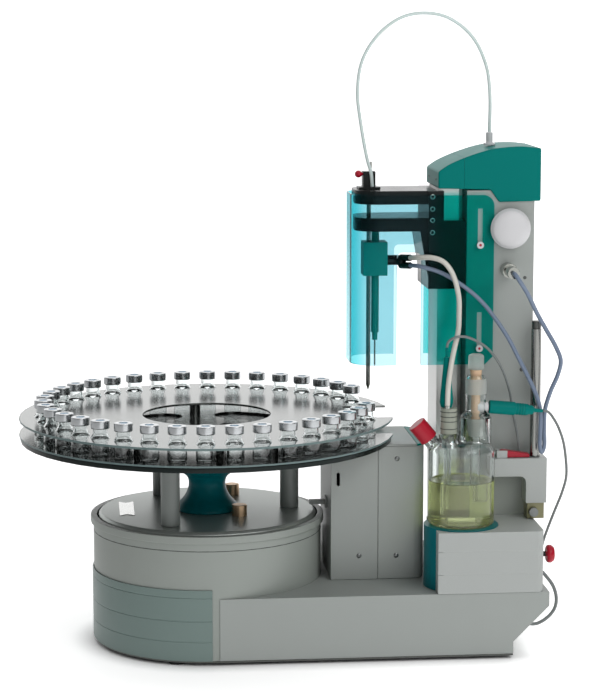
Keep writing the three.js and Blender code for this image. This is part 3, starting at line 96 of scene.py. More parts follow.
CAMERA_PLACE = (-151.0, -2699.9, 746.2)
CAMERA_TURN, CAMERA_DIP = 5.515, 8.500
FOCAL_PIXELS = 2344.1
IMAGE_HIGH = 699
FLOOR_REACH = 3000.0  # metres, so that the floor runs up to the horizon


camera = add_object("camera", bpy.data.cameras.new("camera"))
camera.location = at(*CAMERA_PLACE)
camera.rotation_euler = (radians(90 - CAMERA_DIP), 0, radians(-CAMERA_TURN))
camera.data.lens = FOCAL_PIXELS * camera.data.sensor_width / IMAGE_HIGH
camera.data.clip_end = 2 * FLOOR_REACH
bpy.context.scene.camera = camera

# Nodes

EDGE_RADIUS, EDGE_SAMPLES = 0.9, 4
EDGE_START, EDGE_GAIN = 0.02, 6.0
PATCH_START, PATCH_GAIN = 0.42, 5.0
SMUDGE_START, SMUDGE_GAIN = 0.5, 3.0


def feed(tree, node, values):
    """Gives inputs their plain values, or links them to the outputs of earlier nodes."""
    for label, value in values.items():
        socket = node.inputs[label]
        if isinstance(value, bpy.types.NodeSocket):
            tree.links.new(value, socket)
        else:
            socket.default_value = (*value, 1) if socket.type == "RGBA" else value


def add_node(tree, kind, values=None, **settings):
    """A new node with its settings and inputs, as its outputs."""
    node = tree.nodes.new("ShaderNode" + kind)
    for label, value in settings.items():
        setattr(node, label, value)
    feed(tree, node, values or {})
    return node.outputs


def math_node(tree, operation, first, second, clamp=False):
    return add_node(tree, "Math", {0: first, 1: second}, operation=operation, use_clamp=clamp)[0]


def centred(tree, value):
    return math_node(tree, "SUBTRACT", value, 0.5)


def mask_node(tree, value, start, gain):
    """Nought up to the start, and then rising up to one."""
    return math_node(tree, "MULTIPLY", math_node(tree, "SUBTRACT", value, start), gain, clamp=True)


def range_node(tree, value, start, stop, low=0.0, high=1.0, kind="SMOOTHSTEP"):
    """Goes from low to high while a value goes from start to stop."""
    ends = {"From Min": start, "From Max": stop, "To Min": low, "To Max": high}
    return add_node(tree, "MapRange", {"Value": value, **ends}, interpolation_type=kind)[0]


def noise_node(tree, place, scale, detail=3.0, roughness=0.5, distortion=0.0):
    return add_node(tree, "TexNoise", {"Vector": place, "Scale": scale, "Detail": detail,
                                       "Roughness": roughness, "Distortion": distortion})["Fac"]


def new_group(name, inputs, outputs):
    """A node group, with its inlet's sockets and its outlet."""
    tree = bpy.data.node_groups.new(name, "ShaderNodeTree")
    tree.interface.new_socket("Place", in_out="INPUT", socket_type="NodeSocketVector")
    for label, value in inputs.items():
        socket = tree.interface.new_socket(label, in_out="INPUT", socket_type="NodeSocketFloat")
        socket.default_value = value
    for label in outputs:
        tree.interface.new_socket(label, in_out="OUTPUT", socket_type="NodeSocketFloat")
    return tree, tree.nodes.new("NodeGroupInput").outputs, tree.nodes.new("NodeGroupOutput")


def make_grain_group():
    """Fine texture of paint or moulded plastic: a tone near one, a change of roughness and a height."""
    tree, inlet, outlet = new_group(
        "surface_grain", {"Scale": 900.0, "Tone": 0.03, "Mottle": 30.0}, ["Tone", "Gloss", "Height"])
    fine = noise_node(tree, inlet["Place"], inlet["Scale"], 2.0)
    broad = noise_node(tree, inlet["Place"], inlet["Mottle"], 4.0, 0.6)
    swing = math_node(tree, "MULTIPLY", centred(tree, broad), inlet["Tone"])
    speck = math_node(tree, "MULTIPLY", centred(tree, fine), inlet["Tone"])
    tone = math_node(tree, "ADD", math_node(tree, "ADD", swing, speck), 1.0)
    feed(tree, outlet, {"Tone": tone, "Gloss": centred(tree, broad), "Height": fine})
    return tree


def make_brushing_group():
    """Marks of turning or brushing: noise drawn out along one way of the place that it is given."""
    tree, inlet, outlet = new_group("brushing", {"Scale": 60.0, "Tone": 0.1}, ["Tone", "Gloss", "Height"])
    lines = noise_node(tree, inlet["Place"], inlet["Scale"], 5.0, 0.65)
    clouds = noise_node(tree, inlet["Place"], 3.0)
    middle = centred(tree, lines)
    tone = math_node(tree, "ADD", math_node(tree, "MULTIPLY", middle, inlet["Tone"]), 1.0)
    gloss = math_node(tree, "ADD", middle, centred(tree, clouds))
    feed(tree, outlet, {"Tone": tone, "Gloss": gloss, "Height": lines})
    return tree


def make_edge_group():
    """Mask of worn edges, from how far a rounded normal leaves the true one, broken up by noise."""
    tree, inlet, outlet = new_group("edge_wear", {"Amount": 0.5}, ["Mask"])
    rounded = add_node(tree, "Bevel", {"Radius": EDGE_RADIUS * MM}, samples=EDGE_SAMPLES)[0]
    normals = {0: rounded, 1: add_node(tree, "NewGeometry")["Normal"]}
    likeness = add_node(tree, "VectorMath", normals, operation="DOT_PRODUCT")["Value"]
    sharp = mask_node(tree, math_node(tree, "SUBTRACT", 1.0, likeness), EDGE_START, EDGE_GAIN)
    broken = mask_node(tree, noise_node(tree, inlet["Place"], 70.0, 5.0, 0.65), PATCH_START, PATCH_GAIN)
    mask = math_node(tree, "MULTIPLY", math_node(tree, "MULTIPLY", sharp, broken), inlet["Amount"])
    feed(tree, outlet, {"Mask": mask})
    return tree


def make_smudge_group():
    """Handling marks and dust: broad soft patches from nought to one."""
    tree, inlet, outlet = new_group("smudges", {"Scale": 16.0}, ["Mask", "Height"])
    wide = noise_node(tree, inlet["Place"], inlet["Scale"], 6.0, 0.7, 0.6)
    mask = mask_node(tree, wide, SMUDGE_START, SMUDGE_GAIN)
    feed(tree, outlet, {"Mask": mask, "Height": noise_node(tree, inlet["Place"], 30.0, 1.0)})
    return tree


GRAIN = make_grain_group()
BRUSHING = make_brushing_group()
EDGE_WEAR = make_edge_group()
SMUDGES = make_smudge_group()

# Finishes

# How much smudges and marks change a roughness, and how far marks stand out
PAINT_SMUDGE, PAINT_DRIFT, PAINT_RELIEF = -0.25, 0.1, 0.35
METAL_SMUDGE, METAL_RELIEF, RING_REACH = 0.3, 0.3, 0.02
GLASS_SMUDGES, GLASS_DRIFT, GLASS_RELIEF = 22.0, 0.06, 0.15
SHEET_SMUDGES, SHEET_DRIFT, SHEET_RELIEF = 20.0, 0.05, 0.1
SHEET_REFRACTION, SHEET_SHADE, SHEET_RIPPLE = 1.12, 0.03, 0.02


class Finish:
    """One material under construction: its tree, its shader and the place that patterns read."""

    def __init__(self, name, colour, roughness, metallic=0.0):
        self.material = bpy.data.materials.new(name)
        self.material.use_nodes = True
        self.tree = self.material.node_tree
        self.colour, self.roughness = linear(colour), roughness
        self.give(Metallic=metallic, Roughness=roughness, Base_Color=self.colour)
        self.place = self.node("Mapping", {"Location": (-AXIS_X, 0, 0),
                                           "Vector": self.node("TexCoord")["Object"]})[0]

    def node(self, kind, values=None, **settings):
        return add_node(self.tree, kind, values, **settings)

    def give(self, **values):
        """Feeds inputs of the shader, with _ for a space in their names."""
        feed(self.tree, self.tree.nodes["Principled BSDF"],
             {label.replace("_", " "): value for label, value in values.items()})

    def math(self, operation, first, second, clamp=False):
        return math_node(self.tree, operation, first, second, clamp)

    def group(self, tree, place=None, **values):
        return self.node("Group", {"Place": place or self.place, **values}, node_tree=tree)

    def mix(self, share, first, second):
        """One colour, blended into another one by a share."""
        return self.node("Mix", {0: share, 6: first, 7: second}, data_type="RGBA")[2]

    def tinted(self, colour, tone):
        """The colour, or the colour of an earlier node, times a tone."""
        return self.node("VectorMath", {0: colour, "Scale": tone}, operation="SCALE")[0]

    def rough(self, change, strength):
        drift = self.math("MULTIPLY", change, strength)
        self.give(Roughness=self.math("ADD", drift, self.roughness, clamp=True))

    def bump(self, height, strength, distance):
        values = {"Strength": strength, "Distance": distance * MM, "Height": height}
        self.give(Normal=self.node("Bump", values)["Normal"])

    def marked(self, marks, smudging, drift, relief, depth):
        """Gives the surface its marks and smudges, and hands back the finished material."""
        smudge = self.math("MULTIPLY", self.group(SMUDGES)["Mask"], smudging)
        self.rough(self.math("ADD", marks["Gloss"], smudge), drift)
        self.bump(marks["Height"], relief, depth)
        return self.material

    def pass_light(self, colour):
        """Lets the light that makes shadows through, tinted."""
        blend = self.node("MixShader", {
            0: self.node("LightPath")["Is Shadow Ray"], 1: self.tree.nodes["Principled BSDF"].outputs[0],
            2: self.node("BsdfTransparent", {"Color": colour})[0]})
        feed(self.tree, self.tree.nodes["Material Output"], {"Surface": blend[0]})


def linear(colour):
    """A screen colour from 0 to 255 as linear light."""
    shares = [channel / 255 for channel in colour]
    return tuple(s / 12.92 if s <= 0.04045 else ((s + 0.055) / 1.055) ** 2.4 for s in shares)


def coated(name, colour, roughness, grain=900.0, tone=0.04, depth=0.05, worn=None, wear=0.5, metallic=0.0,
           shine=0.5):
    """Paint, powder coat or moulded plastic: grain, faint mottling, worn edges and handling marks."""
    f = Finish(name, colour, roughness, metallic)
    marks = f.group(GRAIN, Scale=grain, Tone=tone)
    base = f.tinted(f.colour, marks["Tone"])
    if worn:
        edge = f.group(EDGE_WEAR, Amount=wear)
        base = f.mix(edge["Mask"], base, linear(worn))
    f.give(Specular_IOR_Level=shine, Base_Color=base)
    return f.marked(marks, PAINT_SMUDGE, PAINT_DRIFT, PAINT_RELIEF, depth)


def brushed(name, colour, roughness, stretch, scale, tone, depth, round_axis=False, metallic=1.0,
            drift=0.12):
    """Bare metal with marks along one way, or in rings round the turntable's axis."""
    f = Finish(name, colour, roughness, metallic)
    place = f.place
    if round_axis:
        x, y, z = f.node("SeparateXYZ", {0: place})
        squares = [f.math("POWER", side, 2.0) for side in (x, y)]
        radius = f.math("SQRT", f.math("ADD", *squares), 0.0)
        turn = f.math("MULTIPLY", f.math("ARCTAN2", y, x), RING_REACH)
        place = f.node("CombineXYZ", {0: radius, 1: turn, 2: z})[0]
    drawn = f.node("Mapping", {"Scale": stretch, "Vector": place})[0]
    marks = f.group(BRUSHING, drawn, Scale=scale, Tone=tone)
    f.give(Base_Color=f.tinted(f.colour, marks["Tone"]))
    return f.marked(marks, METAL_SMUDGE, drift, METAL_RELIEF, depth)


def clear(name, colour, roughness, refraction=1.47, ripple=0.03, shade=0.9, through=1.0, glow=0.0):
    """Glass, liquid or clear plastic, whose shadow lets most of the light through."""
    f = Finish(name, colour, roughness)
    f.give(Transmission_Weight=through, IOR=refraction, Emission_Color=f.colour, Emission_Strength=glow)
    smudge = f.group(SMUDGES, Scale=GLASS_SMUDGES)
    f.rough(smudge["Mask"], GLASS_DRIFT)
    f.bump(smudge["Height"], GLASS_RELIEF, ripple)
    f.pass_light([shade * c for c in f.colour])
    return f.material


GREY_PAINT = coated("grey_powder_coat", (158, 163, 160), 0.45, tone=0.025, worn=(192, 196, 193), shine=0.35)
PALE_PAINT = coated("pale_powder_coat", (170, 174, 172), 0.42, tone=0.02, worn=(202, 205, 203), shine=0.35)
DRUM_PAINT = coated("drum_paint", (152, 158, 153), 0.4, tone=0.02, worn=(184, 189, 184), shine=0.35)
SKIRT_PAINT = coated("skirt_film", (116, 134, 130), 0.38, tone=0.03, worn=(146, 162, 157), wear=0.4,
                     shine=0.35)
TEAL = coated("teal_moulding", (0, 117, 111), 0.34, 700.0, 0.03, 0.03, (60, 150, 142), 0.3, shine=0.06)
HEATER_TEAL = coated("heater_sleeve_teal", (0, 150, 138), 0.4, 700.0, 0.05, 0.03, shine=0.12)
DEEP_TEAL = coated("deep_teal_moulding", (0, 108, 116), 0.3, 700.0, 0.04, 0.03, (40, 140, 142), 0.3,
                   shine=0.15)
BLACK = coated("black_moulding", (18, 23, 23), 0.24, 600.0, 0.1, 0.03, (60, 64, 64), 0.4, shine=0.2)
RUBBER = coated("rubber", (20, 21, 20), 0.75, 500.0, 0.2, 0.08)
RED = coated("red_moulding", (170, 12, 40), 0.33, 700.0, 0.05, 0.03, (214, 84, 100), 0.3, shine=0.35)
WHITE = coated("white_moulding", (206, 206, 208), 0.38, 700.0, 0.02, 0.03)
STOPPER_GREY = coated("grey_stopper", (150, 155, 142), 0.4, 500.0, 0.06, 0.04)
HOSE_WHITE = coated("hose_jacket", (206, 204, 196), 0.4, 900.0, 0.03, 0.02)
LOOP_TUBE = coated("pale_tube", (204, 218, 216), 0.3, 900.0, 0.03, 0.02)
CABLE_BLUE = coated("blue_grey_jacket", (112, 126, 148), 0.42, 900.0, 0.04, 0.02)
CABLE_GREY = coated("grey_jacket", (116, 121, 121), 0.45, 900.0, 0.04, 0.02)
LABEL = coated("bare_label_plate", (236, 237, 234), 0.22, 1200.0, 0.02, 0.01, metallic=0.7)
# Painted shade: a dark paint for thin rings where shade falls.
SHADE_RING_PAINT = coated("inner_shadow_paint", (70, 76, 74), 0.6, 800.0, 0.05, 0.04)
TAN = coated("membrane_tan", (205, 172, 140), 0.55, 500.0, 0.12, 0.05)
SILICONE = coated("septum", (120, 152, 176), 0.5, 1500.0, 0.06, 0.01)
OLIVE = coated("olive_clamp", (126, 124, 92), 0.3, 500.0, 0.08, 0.03, (170, 168, 140), 0.4, metallic=0.3)
# Painted shade: a darker, duller finish for the metal plates' rims, standing in for the dark reflection
# that they show.
PLATE_EDGE_SHADE = coated("plate_edge", (98, 118, 118), 0.35, 900.0, 0.06, 0.01)
HUB_TEAL = coated("hub_teal", (0, 108, 116), 0.34, 700.0, 0.04, 0.03, (40, 140, 142), 0.3, shine=0.12)
POST_PAINT = coated("post_paint", (130, 136, 133), 0.38, 900.0, 0.02, 0.02, (170, 175, 172), 0.3)
ROUND, EVEN = (1, 0.02, 1), (1, 1, 1)
DISC_METAL = brushed("dark_disc_metal", (172, 178, 174), 0.36, ROUND, 900.0, 0.07, 0.002, True, 0.6)
RACK_METAL = brushed("rack_plate_metal", (114, 117, 115), 0.16, ROUND, 900.0, 0.06, 0.002, True)
UNDER_METAL = brushed("under_disc_metal", (13, 24, 23), 0.24, ROUND, 900.0, 0.2, 0.003, True, 0.6)
RAIL_METAL = brushed("rail_metal", (190, 191, 189), 0.33, (1, 1, 0.03), 900.0, 0.03, 0.0005, drift=0.03)
CHROME = brushed("chrome", (170, 172, 166), 0.14, EVEN, 200.0, 0.05, 0.002)
STEEL = brushed("ground_steel", (144, 145, 142), 0.2, (1, 1, 0.04), 800.0, 0.12, 0.003)
SCREW_METAL = brushed("screw_metal", (118, 121, 120), 0.3, EVEN, 400.0, 0.08, 0.004)
DARK_STEEL = brushed("dark_steel", (96, 98, 96), 0.35, (1, 1, 0.1), 500.0, 0.15, 0.01)
BRASS = brushed("brass", (206, 176, 144), 0.38, EVEN, 400.0, 0.12, 0.005)
CAP_METAL = brushed("crimp_aluminium", (188, 191, 193), 0.22, (1, 1, 0.2), 900.0, 0.08, 0.004)
GLASS = clear("clear_glass", (246, 250, 249), 0.01)
THIN_GLASS = clear("vial_glass", (248, 251, 251), 0.01, 1.45)
FROSTED = clear("ground_glass", (226, 229, 226), 0.4, 1.25, through=0.75)
# The reagent's faint glow is painted light, which brightens it as if lit through.
LIQUID = clear("pale_reagent", (248, 252, 188), 0.0, 1.33, 0.01, glow=0.022)

# Linear tints of the shield: its own pale tint at the side, and deeper tints of painted shade at its front
# bend and towards the tower, standing in for the deeper colour that light takes through the sheet there;
# and the metres from the axis between which each one takes over from the last
BEND_SHADE_TINT, SIDE_TINT, REAR_SHADE_TINT = (0.16, 0.62, 0.68), (0.475, 0.705, 0.755), (0.03, 0.66, 0.61)
SIDE_FROM, SIDE_TO = 0.168, 0.190
REAR_FROM, REAR_TO = 0.250, 0.275


def make_shield_tint():
    """Tinted sheet of one pale tint, with painted shade that deepens it at its front bend and towards the
    tower.
    """
    f = Finish("tinted_sheet", (120, 214, 214), 0.03)
    along = f.node("SeparateXYZ", {0: f.place})[0]
    tint = f.mix(range_node(f.tree, along, SIDE_FROM, SIDE_TO), BEND_SHADE_TINT, SIDE_TINT)
    tint = f.mix(range_node(f.tree, along, REAR_FROM, REAR_TO), tint, REAR_SHADE_TINT)
    smudge = f.group(SMUDGES, Scale=SHEET_SMUDGES)
    shade = f.math("MULTIPLY", smudge["Mask"], SHEET_SHADE)
    tint = f.tinted(tint, f.math("SUBTRACT", 1.0, shade))
    f.give(Base_Color=tint, Transmission_Weight=1.0, IOR=SHEET_REFRACTION)
    f.rough(smudge["Mask"], SHEET_DRIFT)
    f.bump(smudge["Height"], SHEET_RELIEF, SHEET_RIPPLE)
    f.pass_light(tint)
    return f.material


SHIELD_TINT = make_shield_tint()

# Making pieces

CREASE, GLASS_CREASE = 34, 50
DOUBLES_REACH, SPUN_REACH, CUT_REACH = 0.002, 0.001, 0.0001
FLAT_TURN = 0.6
TINY_STEPS, SMALL_STEPS, MIDDLE_STEPS, ROUND_STEPS, LARGE_STEPS = 16, 20, 28, 40, 64


def make_piece(name, bm, materials, body="base", nodes=(), crease=CREASE, even=True,
               recalculate=True):
    """Turns a bmesh into a smooth-shaded piece that rides on a body and stands for CAD nodes."""
    if recalculate:
        bmesh.ops.recalc_face_normals(bm, faces=bm.faces)
    mesh = bpy.data.meshes.new(name)
    bm.to_mesh(mesh)
    bm.free()
    for material in materials if isinstance(materials, list) else [materials]:
        mesh.materials.append(material)
    mesh.shade_smooth()
    mesh.set_sharp_from_angle(angle=radians(crease))
    piece = add_object(name, mesh)
    if even:
        weighted = piece.modifiers.new("even_normals", "WEIGHTED_NORMAL")
        weighted.keep_sharp = True
    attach(piece, body)
    if nodes:
        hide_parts(*nodes)


def cad_copy(node):
    """The node's shape with its doubles merged and its flat faces joined up."""
    bm = bmesh.new()
    bm.from_mesh(frame["nodes"][node].data)
    bmesh.ops.remove_doubles(bm, verts=bm.verts, dist=DOUBLES_REACH * MM)
    bmesh.ops.dissolve_limit(bm, angle_limit=radians(FLAT_TURN), verts=bm.verts, edges=bm.edges,
                             use_dissolve_boundaries=False)
    paint(bm, 0, lambda x, y, z: True)
    return bm


def soften(bm, width, segments=2, sharper=40, where=None):
    """Rounds the sharp edges, or those whose middle in millimetres passes a test."""
    edges = []
    for edge in bm.edges:
        if len(edge.link_faces) != 2 or edge.calc_face_angle(0) < radians(sharper):
            continue
        middle = (edge.verts[0].co + edge.verts[1].co) / 2
        if where is None or where((middle.x - AXIS_X) / MM, middle.y / MM, middle.z / MM):
            edges.append(edge)
    bmesh.ops.bevel(bm, geom=edges, offset=width * MM, offset_type="OFFSET", segments=segments,
                    profile=0.5, affect="EDGES", material=-1, clamp_overlap=True)


def paint(bm, index, where):
    """Gives a material number to the faces whose centre in millimetres passes a test."""
    for face in bm.faces:
        c = face.calc_center_median()
        if where((c.x - AXIS_X) / MM, c.y / MM, c.z / MM):
            face.material_index = index


def dress(node, materials, width, segments=2, sharper=40, where=None, inlay=(), crease=CREASE):
    """A CAD node with softened edges, its finish, and other finishes where their tests pass."""
    bm = cad_copy(node)
    if width:
        soften(bm, width, segments, sharper, where)
    for index, test in enumerate(inlay):
        paint(bm, index + 1, test)
    make_piece(node + "_finished", bm, materials, BODY_OF[node], [node], crease, recalculate=False)


def add_prism(bm, corners, way):
    """A flat outline with its corners in millimetres, drawn out along a way in millimetres."""
    face = bm.faces.new([bm.verts.new(at(*corner)) for corner in corners])
    raised = bmesh.ops.extrude_face_region(bm, geom=[face])["geom"]
    bmesh.ops.translate(bm, vec=[step * MM for step in way],
                        verts=[g for g in raised if isinstance(g, bmesh.types.BMVert)])
    bmesh.ops.recalc_face_normals(bm, faces=bm.faces)


def add_slab(bm, outline, foot, top):
    """A plan outline in millimetres, raised from one height to another."""
    add_prism(bm, [(x, y, foot) for x, y in outline], (0, 0, top - foot))


def cut_off(bm, place, outward):
    """Takes away what lies beyond a plane, and gives the edges of the cut."""
    cut = bmesh.ops.bisect_plane(bm, geom=bm.verts[:] + bm.edges[:] + bm.faces[:], dist=CUT_REACH * MM,
                                 plane_co=at(*place), plane_no=outward, clear_outer=True)
    return [g for g in cut["geom_cut"] if isinstance(g, bmesh.types.BMEdge)]


def lathe(bm, profile, steps, closed=False, place=None):
    """Spins an outline of radius and height in millimetres round an upright axis, and then moves it."""
    ring = [bm.verts.new((r * MM, 0, z * MM)) for r, z in profile]
    edges = [bm.edges.new(pair) for pair in zip(ring, ring[1:])]
    if closed:
        edges.append(bm.edges.new((ring[-1], ring[0])))
    before = set(bm.verts) - set(ring)
    bmesh.ops.spin(bm, geom=ring + edges, axis=(0, 0, 1), cent=(0, 0, 0), angle=2 * pi, steps=steps,
                   use_merge=True)
    made = [v for v in bm.verts if v not in before]
    bmesh.ops.remove_doubles(bm, verts=made, dist=SPUN_REACH * MM)
    if place is not None:
        bmesh.ops.transform(bm, matrix=place, verts=[v for v in bm.verts if v not in before])


def turned(name, profile, steps, places, material, closed=False, nodes=(), body="base",
           crease=CREASE):
    """A piece made of one lathe shape, at its place or at each of several places."""
    bm = bmesh.new()
    for place in places if isinstance(places, list) else [places]:
        lathe(bm, profile, steps, closed, place)
    make_piece(name, bm, material, body, nodes, crease)


def standing(x, y, z=0.0):
    """The matrix that moves a lathe shape to its upright place."""
    return Matrix.Translation(at(x, y, z))


def facing(x, y, z, direction):
    """The matrix that turns a lathe shape's axis along a direction and moves its foot to a place."""
    return Matrix.Translation(at(x, y, z)) @ Vector(direction).to_track_quat("Z", "Y").to_matrix().to_4x4()


def make_screws(name, spots, direction, rise, material):
    """Low domed screw heads with a recess, each at its x, y and z with its own radius."""
    bm = bmesh.new()
    for x, y, z, radius in spots:
        head = [(0, rise * 0.55), (radius * 0.28, rise * 0.5), (radius * 0.3, rise),
                (radius * 0.62, rise * 0.86), (radius * 0.9, rise * 0.5), (radius, 0.05), (radius, -0.15)]
        lathe(bm, head, TINY_STEPS, place=facing(x, y, z, direction))
    make_piece(name, bm, material)


# Cords

LOOP_RADIUS, HOSE_RADIUS, HEATER_RADIUS, LEAD_RADIUS, REAR_RADIUS = 2.0, 3.0, 2.5, 1.5, 2.0
LOOP_ROUTE = [
    (192.5, -10.6, 531.8), (191, -10.8, 548), (187, -9.5, 562), (180, -5, 602), (176.2, -1, 640),
    (181.8, 0, 676.6), (200.7, 0, 706.5), (227, 0, 725.5), (253.5, 0, 730.5), (281.4, 0, 725.1),
    (309.3, 0, 703.8), (326, 0, 671), (331, 0, 638), (331, 0, 593.5)]
HOSE_ROUTE = [
    (234.2, -34.5, 451.2), (242.5, -53, 453.2), (255, -64, 454.2), (267.1, -69, 450.1),
    (276.9, -71, 437.9), (284.8, -72, 411.1), (285.2, -74, 388), (283.2, -82, 372), (277.5, -91, 354),
    (272.5, -98, 334), (269, -102, 310), (268.3, -101.8, 289.4)]
HEATER_ROUTE = [
    (234.2, -34.5, 442.2), (242.5, -53, 443.2), (265.8, -60, 436.6), (288.1, -61, 423.4),
    (310.3, -63, 405.6), (327.9, -67, 384.3), (342.9, -72, 361.4), (355.8, -75, 336.3),
    (366.2, -77, 315.7), (375.2, -78.5, 295.6), (380, -79, 278), (380.4, -79, 250), (380.5, -78.5, 234),
    (383, -76.5, 228.5), (386, -74.5, 234), (386, -73, 255), (387, -72, 277), (393.2, -72, 298.7),
    (401.2, -72, 317.5), (404.6, -72, 334.1), (398.9, -72, 349.7), (386.5, -73, 371.1), (375, -77, 390.4),
    (361, -90, 415), (350, -97, 431), (346, -94, 437.2), (346, -86, 437.5)]
INDICATOR_ROUTE = [
    (269, -90, 354.8), (270.5, -92, 361), (278, -95.5, 366.5), (288.2, -94, 367), (302.4, -87, 361.3),
    (318.7, -80, 349.9), (334.2, -75, 329), (346.2, -66, 299.3), (352.4, -58, 270.9),
    (358.5, -54.5, 244.7), (361.5, -53, 220.9)]
GENERATOR_ROUTE = [
    (382.3, -86, 278.4), (387.5, -86.2, 277.4), (397, -86, 265), (405.5, -85, 245), (410, -83, 222),
    (411.5, -80, 199.5), (407.3, -78, 180.6), (400.4, -77, 162), (392, -77, 140), (386, -77, 122),
    (384, -75.5, 111.5), (381, -75, 108.2), (376.5, -75, 108)]
REAR_ROUTE = [
    (376.5, -70, 88), (384, -70, 87), (393, -70, 78), (401, -70, 66), (404.4, -70, 52), (402.2, -70, 40),
    (393, -70, 29), (380, -70, 22.5), (368, -70, 25), (360.6, -70, 37.2)]


def smooth_route(route, steps=7):
    """Points along the even curve that passes through a route, as the CAD tube does."""
    points = [Vector(p) for p in route]
    padded = [2 * points[0] - points[1]] + points + [2 * points[-1] - points[-2]]
    curve = []
    for a, b, c, d in zip(padded, padded[1:], padded[2:], padded[3:]):
        first, middle, last = (sqrt(max((q - p).length, 1e-6)) for p, q in ((a, b), (b, c), (c, d)))
        slope_b = (b - a) / first - (c - a) / (first + middle) + (c - b) / middle
        slope_c = (c - b) / middle - (d - b) / (middle + last) + (d - c) / last
        for step in range(steps):
            t = step / steps
            curve.append((2 * t ** 3 - 3 * t * t + 1) * b + (t ** 3 - 2 * t * t + t) * middle * slope_b
                         + (3 * t * t - 2 * t ** 3) * c + (t ** 3 - t * t) * middle * slope_c)
    return curve + [points[-1]]


def make_cord(node, colour, route, radius, material, from_lift=False):
    """A round cord along a route. It rides on the base; one that starts on the lift is made a loose mesh
    instead.
    """
    name = f"{node}_{colour}"
    points = [at(*p) for p in smooth_route(route)]
    data = bpy.data.curves.new(name, "CURVE")
    data.dimensions = "3D"
    data.bevel_depth = radius * MM
    data.bevel_resolution = 4
    data.use_fill_caps = True
    line = data.splines.new("POLY")
    line.points.add(len(points) - 1)
    for point, place in zip(line.points, points):
        point.co = (*place, 1)
    line.use_smooth = True
    data.materials.append(material)
    piece = add_object(name, data)
    if from_lift:
        bpy.context.view_layer.update()
        tube = piece.evaluated_get(bpy.context.evaluated_depsgraph_get())
        mesh = bpy.data.meshes.new_from_object(tube)
        bpy.data.objects.remove(piece)
        piece = add_object(name, mesh)
        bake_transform(piece)
    else:
        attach(piece, "base")
    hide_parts(node)


make_cord("tube_loop", "clear", LOOP_ROUTE, LOOP_RADIUS, LOOP_TUBE, True)
make_cord("gas_hose", "white", HOSE_ROUTE, HOSE_RADIUS, HOSE_WHITE, True)
make_cord("heater_cable", "blue_grey", HEATER_ROUTE, HEATER_RADIUS, CABLE_BLUE, True)
make_cord("indicator_cable", "grey", INDICATOR_ROUTE, LEAD_RADIUS, CABLE_GREY)
make_cord("generator_cable", "grey", GENERATOR_ROUTE, LEAD_RADIUS, CABLE_GREY)
make_cord("rear_cable", "grey", REAR_ROUTE, REAR_RADIUS, CABLE_GREY)

# Base and drum

DRUM_RADIUS = 133.5
RIM_FOOT, RIM_LINE, RIM_STEPS = 141.0, 132.0, 96
INNER_DECK_RADIUS = 128
FEET_TOP = 3.4
SENSOR_TIP_X = 124


def make_rim_shade_line():
    """The dark line under the drum's rim: a thin ring of painted shade let into the wall."""
    inner, outer = DRUM_RADIUS - 0.3, DRUM_RADIUS + 0.12
    turned("drum_rim_line", [(inner, RIM_LINE), (outer, RIM_LINE + 0.1), (outer, RIM_LINE + 0.8),
                             (inner, RIM_LINE + 0.9)],
           RIM_STEPS, standing(0, 0), SHADE_RING_PAINT, True)


dress("base_housing", GREY_PAINT, 1.6, 3)
dress("base_plate", [DARK_STEEL, RUBBER], 0.3, inlay=[lambda x, y, z: z < FEET_TOP])
dress("drum_body", DRUM_PAINT, 1.4, 3,
      where=lambda x, y, z: z > RIM_FOOT - 1 and hypot(x, y) > INNER_DECK_RADIUS)
dress("drum_skirt", SKIRT_PAINT, 0.25, 1)
dress("sensor_arm", [GREY_PAINT, BLACK], 0.4, inlay=[lambda x, y, z: x < SENSOR_TIP_X])
make_rim_shade_line()

# Turntable and rack

RACK_TURN = radians(1.2)
VIAL_CIRCLE = 190.0
VIAL_PLACES = 38
FIRST_VIAL, LAST_VIAL = 2, 36
VIAL_PLATE_TOP = 247.3
PLATE_RADIUS = 218.5
CAP_TOP = span("rack_vial_plate")[1].z
DISC_TOP = 153.2
SPOKE_TURN = radians(93)
SLOT_CIRCLE, SLOT_HALF, SPOKE_HALF = 104.0, 23.0, 20.5
DISC_RIM, UNDER_DISC_RIM, PINS_FOOT = 120, 150, 160
TOP_PLATE_RIM, TOP_PLATE_HOLE = 208, 78


def repeat(profile, steps, closed=False):
    """One lathe shape at the place of every vial."""
    one = bmesh.new()
    lathe(one, profile, steps, closed)
    bmesh.ops.recalc_face_normals(one, faces=one.faces)
    mesh = bpy.data.meshes.new("pattern")
    one.to_mesh(mesh)
    one.free()
    bm = bmesh.new()
    for number in range(FIRST_VIAL, LAST_VIAL + 1):
        turn = 2 * pi * number / VIAL_PLACES + RACK_TURN
        place = standing(VIAL_CIRCLE * cos(turn), VIAL_CIRCLE * sin(turn)) @ Matrix.Rotation(turn, 4, "Z")
        before = len(bm.verts)
        bm.from_mesh(mesh)
        bm.verts.ensure_lookup_table()
        bmesh.ops.transform(bm, matrix=place, verts=bm.verts[before:])
    bpy.data.meshes.remove(mesh)
    return bm


